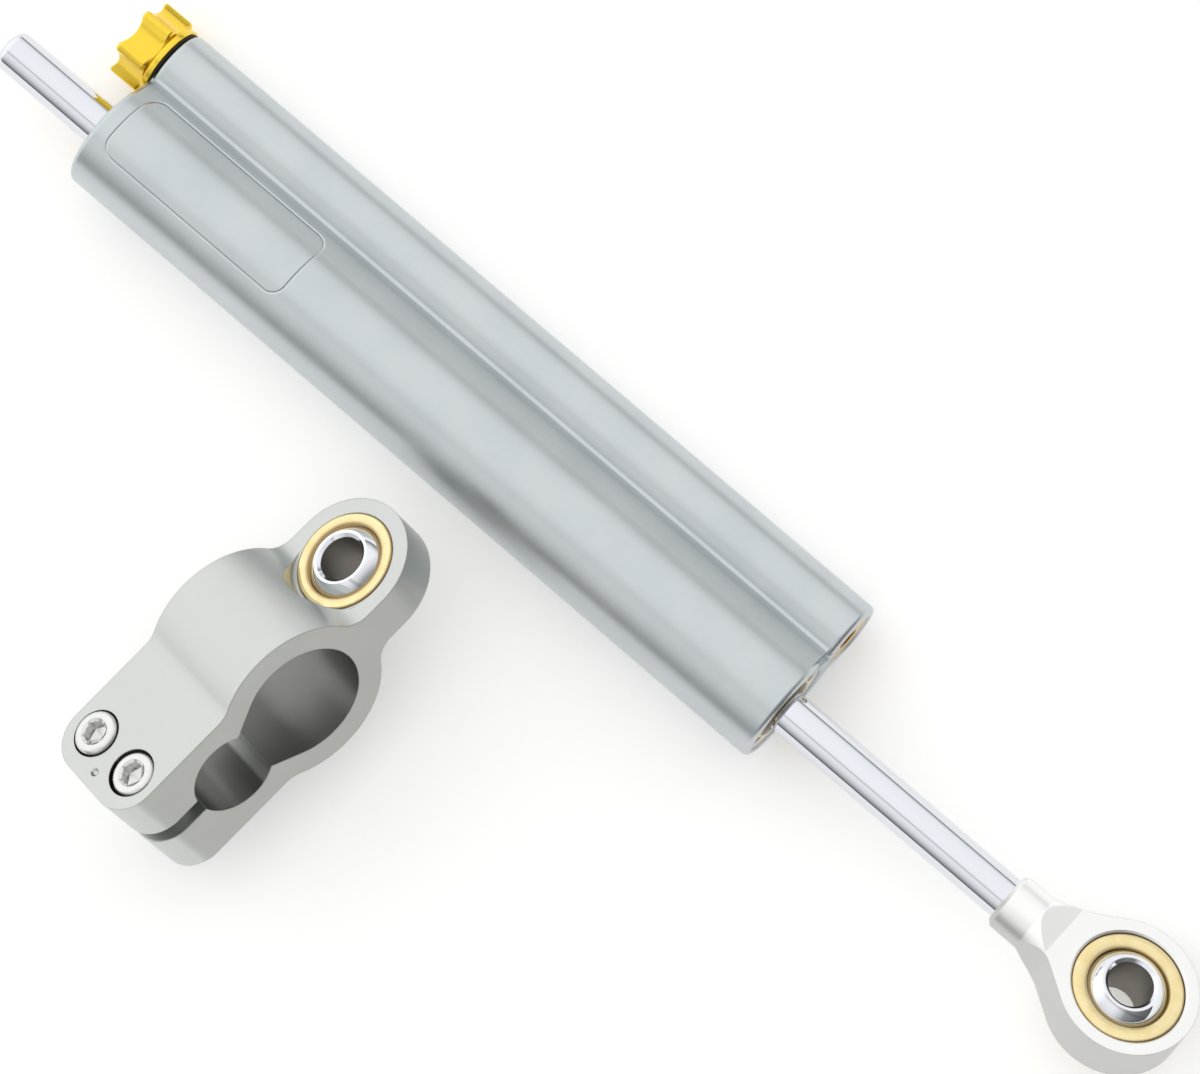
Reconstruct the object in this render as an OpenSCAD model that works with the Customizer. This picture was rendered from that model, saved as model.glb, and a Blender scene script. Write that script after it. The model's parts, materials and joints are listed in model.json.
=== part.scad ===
// Motorcycle steering damper: a through-rod hydraulic cylinder with a bypass valve in a
// second bore, a ball-jointed rod end, and the clamp bracket that holds it to a frame.
// Millimetres. Origin: centre of the rod end's ball. +X runs along the rod towards the rod
// end, +Z is up, and the damper lies with both lobes of its body on the floor.

/* [Body] */
// Length of the two-lobed body
body_len = 157.9; // [150:0.1:164]
// Distance from the ball centre back to the body's near end, at rest
body_setback = 75.3; // [70:0.1:86]
// Bore that the piston runs in
main_bore_d = 18; // [17.6:0.1:18.6]
// Wall round the main bore
main_wall = 1.5; // [1.3:0.1:2.4]
// Bore of the bypass, beside the main bore
small_bore_d = 10.4; // [10:0.1:11]
// Wall round the bypass bore
small_wall = 1.8; // [1.5:0.1:2.1]
// Distance between the two bores' axes
lobe_gap = 16.8; // [16.4:0.1:17.4]
// Slope of the flat flank between the lobes, from the line square to both axes
flank_angle = 33.3; // [31:0.1:36]
// Fillet where the flank meets the small lobe
valley_r = 0.8; // [0.6:0.05:1.2]
// Rounding of the body's end edges
end_round = 1; // [0.5:0.1:1.2]
// Chamfer at the mouth of each bore
mouth_chamfer = 0.3; // [0.1:0.05:0.35]

/* [Rod] */
// Diameter of the chromed rod
rod_d = 8; // [7:0.1:8.6]
// How far the rod's free tip stands out of the body, at rest
tip_out = 24; // [22.5:0.1:30]
// Rounding of the rod's free tip
rod_tip_r = 1.6; // [0.5:0.1:2.4]
// Diameter of the rod's threaded stub inside the rod end
stub_d = 6; // [5:0.1:6.4]
// Length of that stub
stub_len = 9.5; // [6:0.25:9.6]
// Wire diameter of the clips that hold the piston on the rod
rod_clip_wire = 1.2; // [1:0.05:1.4]

/* [Piston] */
// Length of the piston
piston_len = 14; // [12:0.25:15]
// How far the piston stands from mid body towards the rod end, at rest
piston_offset = 13; // [11.5:0.25:13.8]
// Width of the guide band on the piston
band_w = 6; // [4:0.25:8]
// Thickness of that band
band_t = 1; // [0.7:0.05:1.3]

/* [Seal heads] */
// Length of a seal head
head_len = 26; // [25:0.25:28]
// Depth of a head's shoulder inside the body's end
head_recess = 1.6; // [1.5:0.05:2]
// Height of the boss round the rod
boss_h = 1.1; // [0.8:0.05:1.3]
// Diameter of that boss
boss_d = 13.6; // [13:0.1:14.4]
// Clearance hole for the rod in a head
head_hole_d = 8.8; // [8.7:0.1:9.4]
// Outer diameter of the wiper and of the rod seal
seal_d = 12; // [11.4:0.1:12.4]
// Length of the wiper's pocket
wiper_len = 3; // [2.4:0.1:3.4]
// Length of the rod seal
seal_len = 4; // [3.4:0.1:4.4]
// Outer diameter of the rod's guide bush
bush_d = 10; // [9.6:0.1:10.8]
// Length of that bush
bush_len = 15; // [12:0.25:15.5]
// Solid wall between two pockets of a head
pocket_wall = 1.5; // [1.2:0.1:1.8]
// Outer diameter of a bump stop
bump_d = 16; // [14:0.2:16.4]
// Length of a bump stop; the piston travels between the two
bump_len = 8.9; // [6:0.1:10]
// Wire diameter of a head's retaining clip
head_clip_wire = 1.2; // [1:0.05:1.2]
// Gap in the ring of each retaining clip, in degrees
clip_opening = 34; // [20:1:60]

/* [O-rings] */
// Cross-section of the O-rings on the heads, the housing, the seat and the plug
o_ring_d = 1.5; // [1.2:0.05:1.6]
// Cross-section of the piston's inner O-ring
rod_o_ring_d = 1; // [0.8:0.05:1.2]
// Cross-section of the spindle's O-ring
spindle_o_ring_d = 0.7; // [0.6:0.05:0.8]

/* [Bypass valve] */
// Diameter of the two ports between the bores
port_d = 2.5; // [2:0.1:3]
// Distance from a seal head's inner face to its port
port_inset = 4; // [2.5:0.25:5]
// Length of the adjuster housing
housing_len = 24; // [23.4:0.2:25]
// Depth of the housing's O-ring groove under its face
housing_ring_depth = 5.4; // [4.6:0.1:5.8]
// Depth of the housing's face inside the body's end
housing_recess = 0.3; // [0.2:0.05:0.4]
// Length of the brass valve seat
seat_len = 5; // [4:0.25:7]
// Distance from the port to the valve seat
seat_inset = 2.8; // [2.4:0.1:3.4]
// Orifice of the valve seat
orifice_d = 2.2; // [2:0.1:2.6]
// Diameter of the needle's stem
needle_d = 2.5; // [2.2:0.1:2.8]
// Width across flats of the needle's hexagonal guide
needle_flats = 5.94; // [5.6:0.02:6.1]
// Length of the needle's hexagonal guide
needle_guide_len = 9; // [8.2:0.2:9.4]
// Room behind the needle for it to open
needle_room = 1.5; // [1.2:0.1:1.8]
// Length of the spindle's thread inside the needle
thread_len = 6.5; // [5.5:0.1:6.9]
// Length of the needle's conical tip
needle_tip_len = 2.2; // [1.8:0.1:2.6]

/* [Adjuster] */
// Outer diameter over the knob's ridges
knob_d = 15.6; // [15:0.1:16.2]
// Length of the knob's fluted grip
grip_len = 6; // [5.4:0.1:7]
// Length of the cone from the grip down to the knob's flange
collar_len = 0.8; // [0.6:0.1:1.2]
// Depth of the dish in the knob's face
dish_depth = 1.8; // [1.2:0.1:2]
// How far the dish widens for each millimetre of its depth
dish_slope = 1.4; // [1:0.1:1.6]
// Width of the flat left outside the dish on a ridge
dish_lip = 0.4; // [0.3:0.05:0.6]
// Number of ridges on the knob
knob_ridges = 6; // [5:1:8]
// Width of a ridge's crest
ridge_w = 1; // [0.8:0.05:1.8]
// Depth of the scallops between the ridges
scallop_depth = 1.5; // [1:0.05:1.8]
// Chamfer at the ends of the knob's ridges
knob_edge = 0.5; // [0.3:0.05:0.7]
// Depth of the recess for the screw in the knob's face
knob_recess = 2.6; // [2.4:0.1:2.8]
// Thread diameter of the knob's screw
knob_screw_d = 2.4; // [2:0.1:2.6]
// Length of that screw under its head
knob_screw_len = 5.4; // [4.6:0.1:5.8]
// Head diameter of that screw
knob_screw_head_d = 5; // [4.4:0.1:5.2]
// Angle that a ridge stands from the top of the knob, at rest
knob_turned = 30.5; // [28:0.5:32]
// Diameter of the knob's base flange
flange_d = 14.2; // [13:0.1:15]
// Thickness of that flange
flange_t = 0.9; // [0.7:0.05:1.3]
// Thickness of the dust seal under the knob
dust_seal_t = 0.75; // [0.6:0.05:0.9]
// Diameter of the spindle
spindle_d = 4; // [3.6:0.1:4.2]
// Diameter of the collar that holds the spindle in
spindle_collar_d = 5.6; // [5.2:0.1:5.6]
// Distance from the housing's face to that collar
collar_inset = 8; // [7.6:0.1:8.4]
// Thickness of that collar
collar_t = 1.6; // [1.2:0.1:2]
// Thickness of the clip behind the collar
spindle_clip_t = 0.8; // [0.6:0.05:1]
// Depth of the spindle's O-ring under the housing's face
spindle_ring_depth = 4; // [3.5:0.1:4.4]
// Diameter of the spindle's threaded tail
spindle_tail_d = 3; // [2.6:0.1:3.2]
// Radius of the circle that the click ball runs on
detent_ring_r = 3.35; // [3.3:0.05:3.4]
// Diameter of the click ball
detent_ball_d = 1.5; // [1.3:0.05:1.5]
// Depth of the blind hole for the click ball's spring
detent_depth = 4.4; // [4:0.1:5]
// Number of clicks in one turn
detent_count = 12; // [8:1:16]

/* [Compensator] */
// Length of the floating piston
float_len = 7; // [6:0.25:7.5]
// Distance from the near port to the floating piston
float_inset = 5.4; // [5.2:0.1:6]
// Outer diameter of the spring behind it
spring_d = 8.8; // [8:0.1:9.2]
// Wire diameter of that spring
spring_wire = 0.9; // [0.7:0.05:1]
// Coils of that spring
spring_turns = 5; // [3:1:6]
// Length of the plug that closes the bypass bore
plug_len = 8.2; // [7.4:0.1:9]
// Depth of the plug's face inside the body's end
plug_recess = 0.3; // [0.2:0.05:0.5]
// Depth of the plug's O-ring groove under its face
plug_ring_depth = 5; // [4.2:0.1:5.6]
// Width across flats of the plug's hexagon socket
plug_socket = 4; // [3:0.1:4.4]
// Depth of that socket
plug_socket_depth = 2.6; // [1.8:0.1:3]
// Diameter of the spigots that centre the spring
spigot_d = 6; // [5:0.1:6]
// Height of those spigots
spigot_len = 1.2; // [0.8:0.1:1.4]

/* [Rod end] */
// Distance from the ball centre to the rod end's face
neck_len = 25.6; // [24.6:0.1:27]
// Diameter of the round neck
neck_d = 10.8; // [10:0.1:11.6]
// Length of the neck before it flares out to the eye
neck_straight = 6.5; // [5.6:0.1:7]
// Chamfer on the neck's face
neck_chamfer = 0.8; // [0.4:0.05:1.2]
// Outer radius of the eye
eye_r = 12.6; // [12.3:0.1:13.6]
// Thickness of the eye's plate
eye_t = 9; // [8.6:0.1:9.4]
// Fillet between the neck and the eye
neck_fillet = 8; // [6:0.25:10]
// Slope of the eye's straight sides, in degrees
eye_taper = 35; // [33:0.5:38]
// Slope of the neck's flare, in degrees
flare_slope = 21; // [18:0.5:24]
// Distance from the ball centre to the foot of the ramp on each face
ramp_foot = 14.4; // [13.4:0.1:15.4]
// Slope of that ramp, in degrees
ramp_slope = 11.6; // [8:0.2:14]
// Lean of the eye about the rod, at rest
eye_lean = 28.5; // [20:0.1:30]
// Outer diameter of the race in the rod end
race_d = 20.2; // [19.6:0.1:20.8]
// Width of that race
race_w = 8.6; // [8:0.1:9.4]
// Chamfer of the eye round the race
eye_chamfer = 0.35; // [0.2:0.05:0.5]

/* [Spherical bearings] */
// Diameter of the ball
ball_d = 15.88; // [15:0.04:16.2]
// Width of the ball across its flats
ball_w = 12; // [11:0.1:12.6]
// Bore of the ball, for the mounting bolt
ball_bore_d = 8; // [7:0.1:8.4]
// Chamfer at the ends of the ball's bore
ball_chamfer = 0.7; // [0.2:0.05:0.8]
// Chamfer inside each face of a race
race_chamfer = 0.7; // [0.3:0.05:0.9]

/* [Clamp bracket] */
// Width of the bracket along its bore
clamp_w = 24.3; // [23.4:0.1:27]
// Outer radius of the ring round the body's main lobe
clamp_ring_r = 15.9; // [15:0.1:16.8]
// Clearance between the clamp's bore and the body
clamp_clearance = 0.8; // [0.3:0.05:1]
// Distance from the bore to the ball of the bracket
clamp_reach = 22.2; // [21.8:0.1:24]
// Thickness of the tab that holds the ball
tab_t = 8.6; // [8:0.1:9.2]
// Thickness of the two jaws together
jaw_t = 23.9; // [22.5:0.1:25]
// Distance from the bore to the end of the jaws
jaw_reach = 35.9; // [35.6:0.1:39]
// Rounding of the jaws' corners
jaw_corner = 6.8; // [5:0.1:8]
// Fillets between the ring, the jaws and the tab
clamp_fillet = 5; // [3:0.25:5.5]
// Width of the slot between the jaws
slot_w = 3.2; // [2.2:0.1:3.8]
// Outer diameter of the bracket's race
clamp_race_d = 18.6; // [18:0.1:18.8]
// Width of the bracket's race
clamp_race_w = 9.4; // [8.6:0.1:9.8]
// Relief cut round that race
race_relief = 0.5; // [0.3:0.05:0.7]
// Distance from the bore to the clamp screws
screw_reach = 28.6; // [28.4:0.1:29]
// Distance between the two clamp screws
screw_pitch = 11.8; // [11:0.1:12.4]
// Thread diameter of the clamp screws
screw_d = 5; // [4:0.1:5]
// Head diameter of the clamp screws
screw_head_d = 8.3; // [7.8:0.1:8.8]
// Head height of the clamp screws
screw_head_h = 5; // [4:0.1:5.4]
// Width across flats of their hexagon sockets
screw_socket = 4; // [3:0.1:4.2]
// How far the second screw still has to go in
screw_proud = 0.8; // [0:0.1:1.5]
// Width of the ring gap round a screw head
screw_gap = 0.3; // [0.25:0.05:0.45]
// Depth of their hexagon sockets
socket_depth = 2.6; // [1.8:0.1:3.2]
// How far the screws end short of the lower jaw's face
screw_short = 2; // [1:0.1:4]
// Diameter of the witness dimple on the upper jaw
dimple_d = 1.6; // [1:0.1:2]
// Distance from the line of the screws to that dimple
dimple_back = 4.6; // [4:0.1:5.5]
// Place of the clamp's bore along the damper, from the ball centre
clamp_x = -148; // [-160:0.1:-135]
// Place of the clamp's bore across the damper
clamp_y = -52.3; // [-56:0.1:-49]
// Turn of the clamp on the floor, in degrees
clamp_heading = 4.1; // [0:0.1:12]
// Lean of the clamp about its own length, in degrees
clamp_lean = 29.8; // [20:0.1:36]

/* [Fits] */
// Radial clearance of a part that stays where it is fitted
seat_clear = 0.02; // [0.01:0.005:0.04]
// Radial clearance of a part that turns or slides
run_clear = 0.03; // [0.02:0.005:0.05]
// Radial clearance of the piston under its band
piston_clear = 0.08; // [0.06:0.01:0.1]

/* [Hidden] */
$fn = 96;
// Fillets and flats cut this much past tangency, so that their edges cross cleanly.
bite = 0.005;

main_r = main_bore_d / 2 + main_wall;
small_r = small_bore_d / 2 + small_wall;
bore_r = main_bore_d / 2;
pipe_r = small_bore_d / 2;
rod_r = rod_d / 2;
lie_angle = asin((main_r - small_r) / lobe_gap);
floor_z = -main_r;

body_x1 = -body_setback;
body_x0 = body_x1 - body_len;
piston_x = (body_x0 + body_x1) / 2 + piston_offset;
head_reach = head_recess + head_len;
rod_tip_x = body_x0 - tip_out;
rod_len = -neck_len - rod_tip_x;

// Depths in the bypass bore, from the body's end on the knob side.
port_depth = head_reach + port_inset;
housing_end = housing_recess + housing_len;
collar_depth = housing_recess + collar_inset;
hex_depth = collar_depth + collar_t + spindle_clip_t + 0.8;
needle_top = hex_depth + needle_room;
tail_end = needle_top + thread_len;
seat_depth = port_depth + seat_inset;
needle_end = seat_depth + 1;
float_depth = body_len - port_depth + float_inset;
float_end = float_depth + float_len;
plug_end = body_len - plug_recess;
plug_start = plug_end - plug_len;
spring_len = plug_start - float_end;

knob_back = -dust_seal_t;
flange_front = knob_back - flange_t;
grip_back = flange_front - collar_len;
knob_front = grip_back - grip_len;
// A ridge, and the click ball under it, stand at this turn from the bore's own X axis.
ball_angle = 180 + knob_turned + lie_angle;
spindle_front = knob_front + knob_recess + 0.9;

ball_r = ball_d / 2;
ball_top = ball_w / 2;

aluminium_grey = [0.71, 0.74, 0.76];
gold = [0.88, 0.66, 0.14];
chrome = [0.86, 0.87, 0.9];
rubber_black = [0.07, 0.07, 0.08];
brass = [0.83, 0.7, 0.4];
bronze = [0.68, 0.5, 0.28];
band_white = [0.9, 0.88, 0.82];
steel = [0.62, 0.63, 0.65];
satin_silver = [0.84, 0.85, 0.85];
clamp_silver = [0.72, 0.72, 0.71];

// Lays the damper down so that both lobes touch the floor.
module lying() {
    rotate([-lie_angle, 0, 0]) children();
}

// Puts a revolved part on the main axis, its own +Z along +X from x.
module on_main(x) {
    lying() translate([x, 0, 0]) rotate([0, 90, 0]) children();
}

// The same on the bypass axis, with x measured from the body's end on the knob side.
module on_bypass(depth) {
    lying() translate([body_x0 + depth, lobe_gap, 0]) rotate([0, 90, 0]) children();
}

// A seal-head part on the rod-end side or on the knob side, +Z pointing into the body.
module rod_side() {
    lying() translate([body_x1, 0, 0]) rotate([0, -90, 0]) children();
}

module knob_side() {
    lying() translate([body_x0, 0, 0]) rotate([0, 90, 0]) children();
}

// A revolved ring of rectangular section.
module ring(r_in, r_out, z_low, z_high) {
    translate([0, 0, z_low]) difference() {
        cylinder(r = r_out, h = z_high - z_low);
        translate([0, 0, -1]) cylinder(r = r_in, h = z_high - z_low + 2);
    }
}

module torus(r_mid, section_r) {
    rotate_extrude() translate([r_mid, 0]) circle(r = section_r, $fn = 32);
}

// A wire ring with an opening, as a snap clip has.
module wire_clip(r_mid, wire) {
    rotate([0, 0, clip_opening / 2 - 90])
        rotate_extrude(angle = 360 - clip_opening)
            translate([r_mid, 0]) circle(d = wire, $fn = 32);
}

// The body's two-lobed outline, its lobes on the X axis, grown by some clearance.
module body_outline(grow) {
    r1 = main_r + grow;
    r2 = small_r + grow;
    rf = valley_r - min(grow, valley_r - 0.2);
    across = [sin(flank_angle), cos(flank_angle)];
    down = [cos(flank_angle), -sin(flank_angle)];
    flank = r1 - bite;
    off = flank + rf - lobe_gap * sin(flank_angle);
    run = lobe_gap * cos(flank_angle) - sqrt(pow(r2 + rf, 2) - off * off);
    fillet = (flank + rf) * across + run * down;
    on_flank = fillet - rf * across;
    on_lobe = [lobe_gap, 0] + (fillet - [lobe_gap, 0]) * r2 / (r2 + rf);
    circle(r = r1);
    translate([lobe_gap, 0]) circle(r = r2);
    difference() {
        polygon([for (side = [1, -1])
            for (p = side > 0
                ? [[0, 0], flank * across, on_flank, fillet, on_lobe]
                : [[lobe_gap, 0], on_lobe, fillet, on_flank, flank * across])
                [p.x, side * p.y]]);
        for (side = [1, -1])
            translate([fillet.x, side * fillet.y]) circle(r = rf + bite, $fn = 48);
    }
}

// A quarter-round edge of a lobe, standing on z = 0.
module lobe_end(r) {
    rotate_extrude() {
        square([r - end_round, end_round]);
        intersection() {
            translate([r - end_round, 0]) circle(r = end_round, $fn = 48);
            translate([r - end_round, 0]) square(end_round);
        }
    }
}

module body_end() {
    linear_extrude(end_round) body_outline(-end_round);
    lobe_end(main_r);
    translate([lobe_gap, 0, 0]) lobe_end(small_r);
}

// The turned-over outline stands along X, with the small lobe towards +Y.
module stand_outline() {
    rotate([0, 90, 0]) rotate([0, 0, 90]) children();
}

// The two ends are placed from the middle piece, so that they meet it at any length.
module damper_body() {
    middle = body_len - 2 * end_round;
    color(aluminium_grey) lying() difference() {
        translate([body_x0 + end_round, 0, 0]) {
            stand_outline() linear_extrude(middle) body_outline(0);
            translate([middle, 0, 0]) stand_outline() body_end();
            mirror([1, 0, 0]) stand_outline() body_end();
        }
        translate([body_x0 - 1, 0, 0]) rotate([0, 90, 0]) cylinder(r = bore_r, h = body_len + 2);
        translate([body_x0 - 1, lobe_gap, 0]) rotate([0, 90, 0])
            cylinder(r = pipe_r, h = body_len + 2);
        for (x = [body_x0, body_x1], lobe = [[0, bore_r], [lobe_gap, pipe_r]])
            translate([x, lobe[0], 0]) rotate([0, x == body_x0 ? 90 : -90, 0])
                mouth(lobe[1]);
        for (end = [[body_x0, 90], [body_x1, -90]])
            translate([end[0], 0, 0]) rotate([0, end[1], 0]) clip_groove();
        for (x = [body_x0 + port_depth, body_x1 - port_depth])
            translate([x, bore_r - 1, 0]) rotate([-90, 0, 0])
                cylinder(d = port_d, h = lobe_gap - bore_r + 1);
    }
}

// The conical mouth of a bore of radius r.
module mouth(r) {
    translate([0, 0, -mouth_chamfer])
        cylinder(r1 = r + 2 * mouth_chamfer, r2 = r, h = 2 * mouth_chamfer);
}

// The groove for a head's clip, cut outwards from the main bore.
module clip_groove() {
    translate([0, 0, head_recess - head_clip_wire - 0.04])
        cylinder(r = bore_r + head_clip_wire / 2 + seat_clear, h = head_clip_wire + 0.04);
}

head_r = bore_r - seat_clear;
wiper_end = head_recess - boss_h + wiper_len;
seal_start = wiper_end + pocket_wall;
seal_end = seal_start + seal_len;
bush_start = head_reach - bush_len;
ring_seat = o_ring_d + 2 * seat_clear;
head_ring_z = seal_start + 1;

module seal_head() {
    color(gold) difference() {
        union() {
            translate([0, 0, head_recess]) cylinder(r = head_r, h = head_len);
            translate([0, 0, head_recess - boss_h]) cylinder(d1 = boss_d - 0.8, d2 = boss_d, h = 0.4);
            translate([0, 0, head_recess - boss_h + 0.4]) cylinder(d = boss_d, h = boss_h);
        }
        translate([0, 0, -1]) cylinder(d = head_hole_d, h = head_reach + 2);
        translate([0, 0, -1]) cylinder(d = seal_d, h = wiper_end + 1);
        translate([0, 0, seal_start]) cylinder(d = seal_d, h = seal_len);
        translate([0, 0, bush_start]) cylinder(d = bush_d, h = bush_len + 1);
        ring(head_r - ring_seat, head_r + 1, head_ring_z, head_ring_z + ring_seat + 0.3);
    }
}

module head_clip() {
    color(steel) translate([0, 0, head_recess - head_clip_wire / 2 - seat_clear])
        wire_clip(bore_r - seat_clear, head_clip_wire);
}

module head_o_ring() {
    color(rubber_black)
        translate([0, 0, head_ring_z + ring_seat / 2 + 0.15])
            torus(head_r - ring_seat / 2, o_ring_d / 2);
}

// A wiper with a lip that stands out of the head round the rod.
module wiper() {
    lip = 0.35;
    z0 = head_recess - boss_h;
    color(rubber_black) difference() {
        union() {
            translate([0, 0, z0]) cylinder(r = seal_d / 2 - seat_clear, h = wiper_len - seat_clear);
            translate([0, 0, z0 - lip]) cylinder(r1 = rod_r + 0.5, r2 = rod_r + 1.1, h = lip);
        }
        translate([0, 0, -1]) cylinder(r = rod_r + run_clear, h = wiper_end + 2);
    }
}

// A lip seal: a ring with a groove in the face that meets the oil.
module rod_seal() {
    mid = (rod_r + seal_d / 2) / 2;
    color([0.16, 0.22, 0.18]) difference() {
        ring(rod_r + run_clear, seal_d / 2 - seat_clear, seal_start + seat_clear, seal_end - seat_clear);
        ring(mid - 0.3, mid + 0.3, seal_end - 1.6, seal_end + 1);
    }
}

module rod_bush() {
    color(bronze)
        ring(rod_r + run_clear, bush_d / 2 - seat_clear, bush_start, head_reach - seat_clear);
}

module bump_stop() {
    slope = 1.5;
    color([0.2, 0.2, 0.21]) difference() {
        union() {
            translate([0, 0, head_reach]) cylinder(d = bump_d, h = bump_len - slope);
            translate([0, 0, head_reach + bump_len - slope])
                cylinder(d1 = bump_d, d2 = bump_d - 2 * slope, h = slope);
        }
        translate([0, 0, head_reach - 1]) cylinder(r = rod_r + 0.6, h = bump_len + 2);
    }
}

tail_r = spindle_tail_d / 2;
spindle_ring_z = housing_recess + spindle_ring_depth;
spindle_seat = spindle_o_ring_d + 2 * seat_clear;
pipe_fit_r = pipe_r - seat_clear;
housing_ring_z = housing_recess + housing_ring_depth;

module adjuster_housing() {
    color(gold) on_bypass(0) difference() {
        translate([0, 0, housing_recess]) cylinder(r = pipe_fit_r, h = housing_len);
        translate([0, 0, -1]) cylinder(r = spindle_d / 2 + run_clear, h = housing_end);
        translate([0, 0, collar_depth])
            cylinder(r = spindle_collar_d / 2 + 2 * run_clear, h = hex_depth - collar_depth + 0.01);
        translate([0, 0, collar_depth + collar_t + seat_clear])
            cylinder(r = spindle_collar_d / 2 + 0.7, h = spindle_clip_t + 2 * seat_clear);
        translate([0, 0, hex_depth])
            cylinder(r = (needle_flats / 2 + run_clear) / cos(30), h = housing_len, $fn = 6);
        ring(pipe_fit_r - ring_seat, pipe_fit_r + 1, housing_ring_z, housing_ring_z + ring_seat + 0.3);
        for (i = [0 : detent_count - 1])
            rotate([0, 0, ball_angle + 360 / detent_count * i])
                translate([detent_ring_r, 0, housing_recess - detent_ball_d / 2 + 0.15])
                    sphere(d = detent_ball_d, $fn = 48);
    }
}

// An O-ring on a part that fills the bypass bore.
module bypass_o_ring(depth) {
    color(rubber_black) on_bypass(depth + ring_seat / 2 + 0.15)
        torus(pipe_fit_r - ring_seat / 2, o_ring_d / 2);
}

seat_ring_z = seat_depth + seat_len / 2 - ring_seat / 2 - 0.15;

module valve_seat() {
    color(brass) on_bypass(0) difference() {
        translate([0, 0, seat_depth]) cylinder(r = pipe_fit_r, h = seat_len);
        translate([0, 0, seat_depth - 1]) cylinder(d = orifice_d, h = seat_len + 2);
        translate([0, 0, seat_depth])
            cylinder(d1 = orifice_d + 1.6, d2 = orifice_d, h = 1.4);
        ring(pipe_fit_r - ring_seat, pipe_fit_r + 1, seat_ring_z, seat_ring_z + ring_seat + 0.3);
    }
}

plug_ring_z = plug_end - plug_ring_depth;

module end_plug() {
    color(gold) on_bypass(0) difference() {
        union() {
            translate([0, 0, plug_start]) cylinder(r = pipe_fit_r, h = plug_len);
            translate([0, 0, plug_start - spigot_len]) cylinder(d = spigot_d, h = spigot_len + 0.2);
        }
        translate([0, 0, plug_end - plug_socket_depth])
            cylinder(r = plug_socket / 2 / cos(30), h = plug_socket_depth + 1, $fn = 6);
        ring(pipe_fit_r - ring_seat, pipe_fit_r + 1, plug_ring_z, plug_ring_z + ring_seat + 0.3);
    }
}

module knob_dust_seal() {
    color(rubber_black) on_bypass(0)
        ring(detent_ring_r + detent_ball_d / 2 + 0.25, flange_d / 2 - 0.4,
             -dust_seal_t + seat_clear, -seat_clear);
}

module spindle_clip() {
    color(steel) on_bypass(collar_depth + collar_t + 2 * seat_clear)
        rotate_extrude(angle = 360 - clip_opening)
            translate([tail_r + 0.3, 0])
                square([spindle_collar_d / 2 + 0.65 - tail_r - 0.3, spindle_clip_t]);
}

// The grip's outline: a circle with one scallop between each pair of ridges.
module grip_outline() {
    r = knob_d / 2;
    half = 180 / knob_ridges - asin(ridge_w / 2 / r);
    chord = r * sin(half);
    sag = r * cos(half) - (r - scallop_depth);
    cutter = (chord * chord + sag * sag) / (2 * sag);
    difference() {
        circle(r = r);
        for (i = [0 : knob_ridges - 1])
            rotate(360 / knob_ridges * (i + 0.5))
                translate([r - scallop_depth + cutter, 0]) circle(r = cutter);
    }
}

module adjuster_knob() {
    r = knob_d / 2;
    dish_r = r - dish_lip;
    color(gold) on_bypass(0) rotate([0, 0, ball_angle]) difference() {
        union() {
            translate([0, 0, flange_front]) cylinder(d = flange_d, h = flange_t);
            translate([0, 0, grip_back])
                cylinder(r1 = r - scallop_depth - 0.05, r2 = flange_d / 2 - 0.3, h = collar_len + 0.1);
            intersection() {
                translate([0, 0, knob_front]) linear_extrude(grip_len) grip_outline();
                union() {
                    translate([0, 0, knob_front])
                        cylinder(r1 = r - knob_edge / 2, r2 = r + 0.01, h = knob_edge);
                    translate([0, 0, knob_front + knob_edge])
                        cylinder(r = r + 0.01, h = grip_len - 2 * knob_edge);
                    translate([0, 0, grip_back - knob_edge])
                        cylinder(r1 = r + 0.01, r2 = r - knob_edge, h = knob_edge + 0.01);
                }
            }
        }
        translate([0, 0, knob_front - 1])
            cylinder(r1 = dish_r + dish_slope, r2 = dish_r - dish_slope * dish_depth,
                     h = dish_depth + 1);
        translate([0, 0, spindle_front]) cylinder(r = spindle_d / 2 + seat_clear, h = 20);
        translate([0, 0, knob_front - 1]) cylinder(d = knob_screw_d + 0.2, h = 20);
        translate([0, 0, knob_front - 1]) cylinder(d = knob_screw_head_d + 0.6, h = knob_recess + 1);
        detent_hole();
    }
}

// The blind hole for the click ball and its spring.
module detent_hole() {
    translate([detent_ring_r, 0, knob_back - detent_depth])
        cylinder(d = detent_ball_d + 4 * seat_clear, h = detent_depth + 1);
}

module adjuster_spindle() {
    color(steel) on_bypass(0) difference() {
        union() {
            translate([0, 0, spindle_front + seat_clear])
                cylinder(d = spindle_d, h = collar_depth - spindle_front);
            translate([0, 0, collar_depth + seat_clear])
                cylinder(d = spindle_collar_d, h = collar_t - seat_clear);
            translate([0, 0, collar_depth + 1])
                cylinder(r = tail_r, h = tail_end - collar_depth - 1);
        }
        ring(spindle_d / 2 - spindle_seat + run_clear, spindle_d / 2 + 1,
             spindle_ring_z, spindle_ring_z + spindle_seat + 0.2);
        translate([0, 0, spindle_front - 1]) cylinder(d = knob_screw_d, h = knob_screw_len + 1.1);
    }
}

module spindle_o_ring() {
    color(rubber_black) on_bypass(spindle_ring_z + spindle_seat / 2 + 0.1)
        torus(spindle_d / 2 + run_clear - spindle_seat / 2, spindle_o_ring_d / 2);
}

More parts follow.
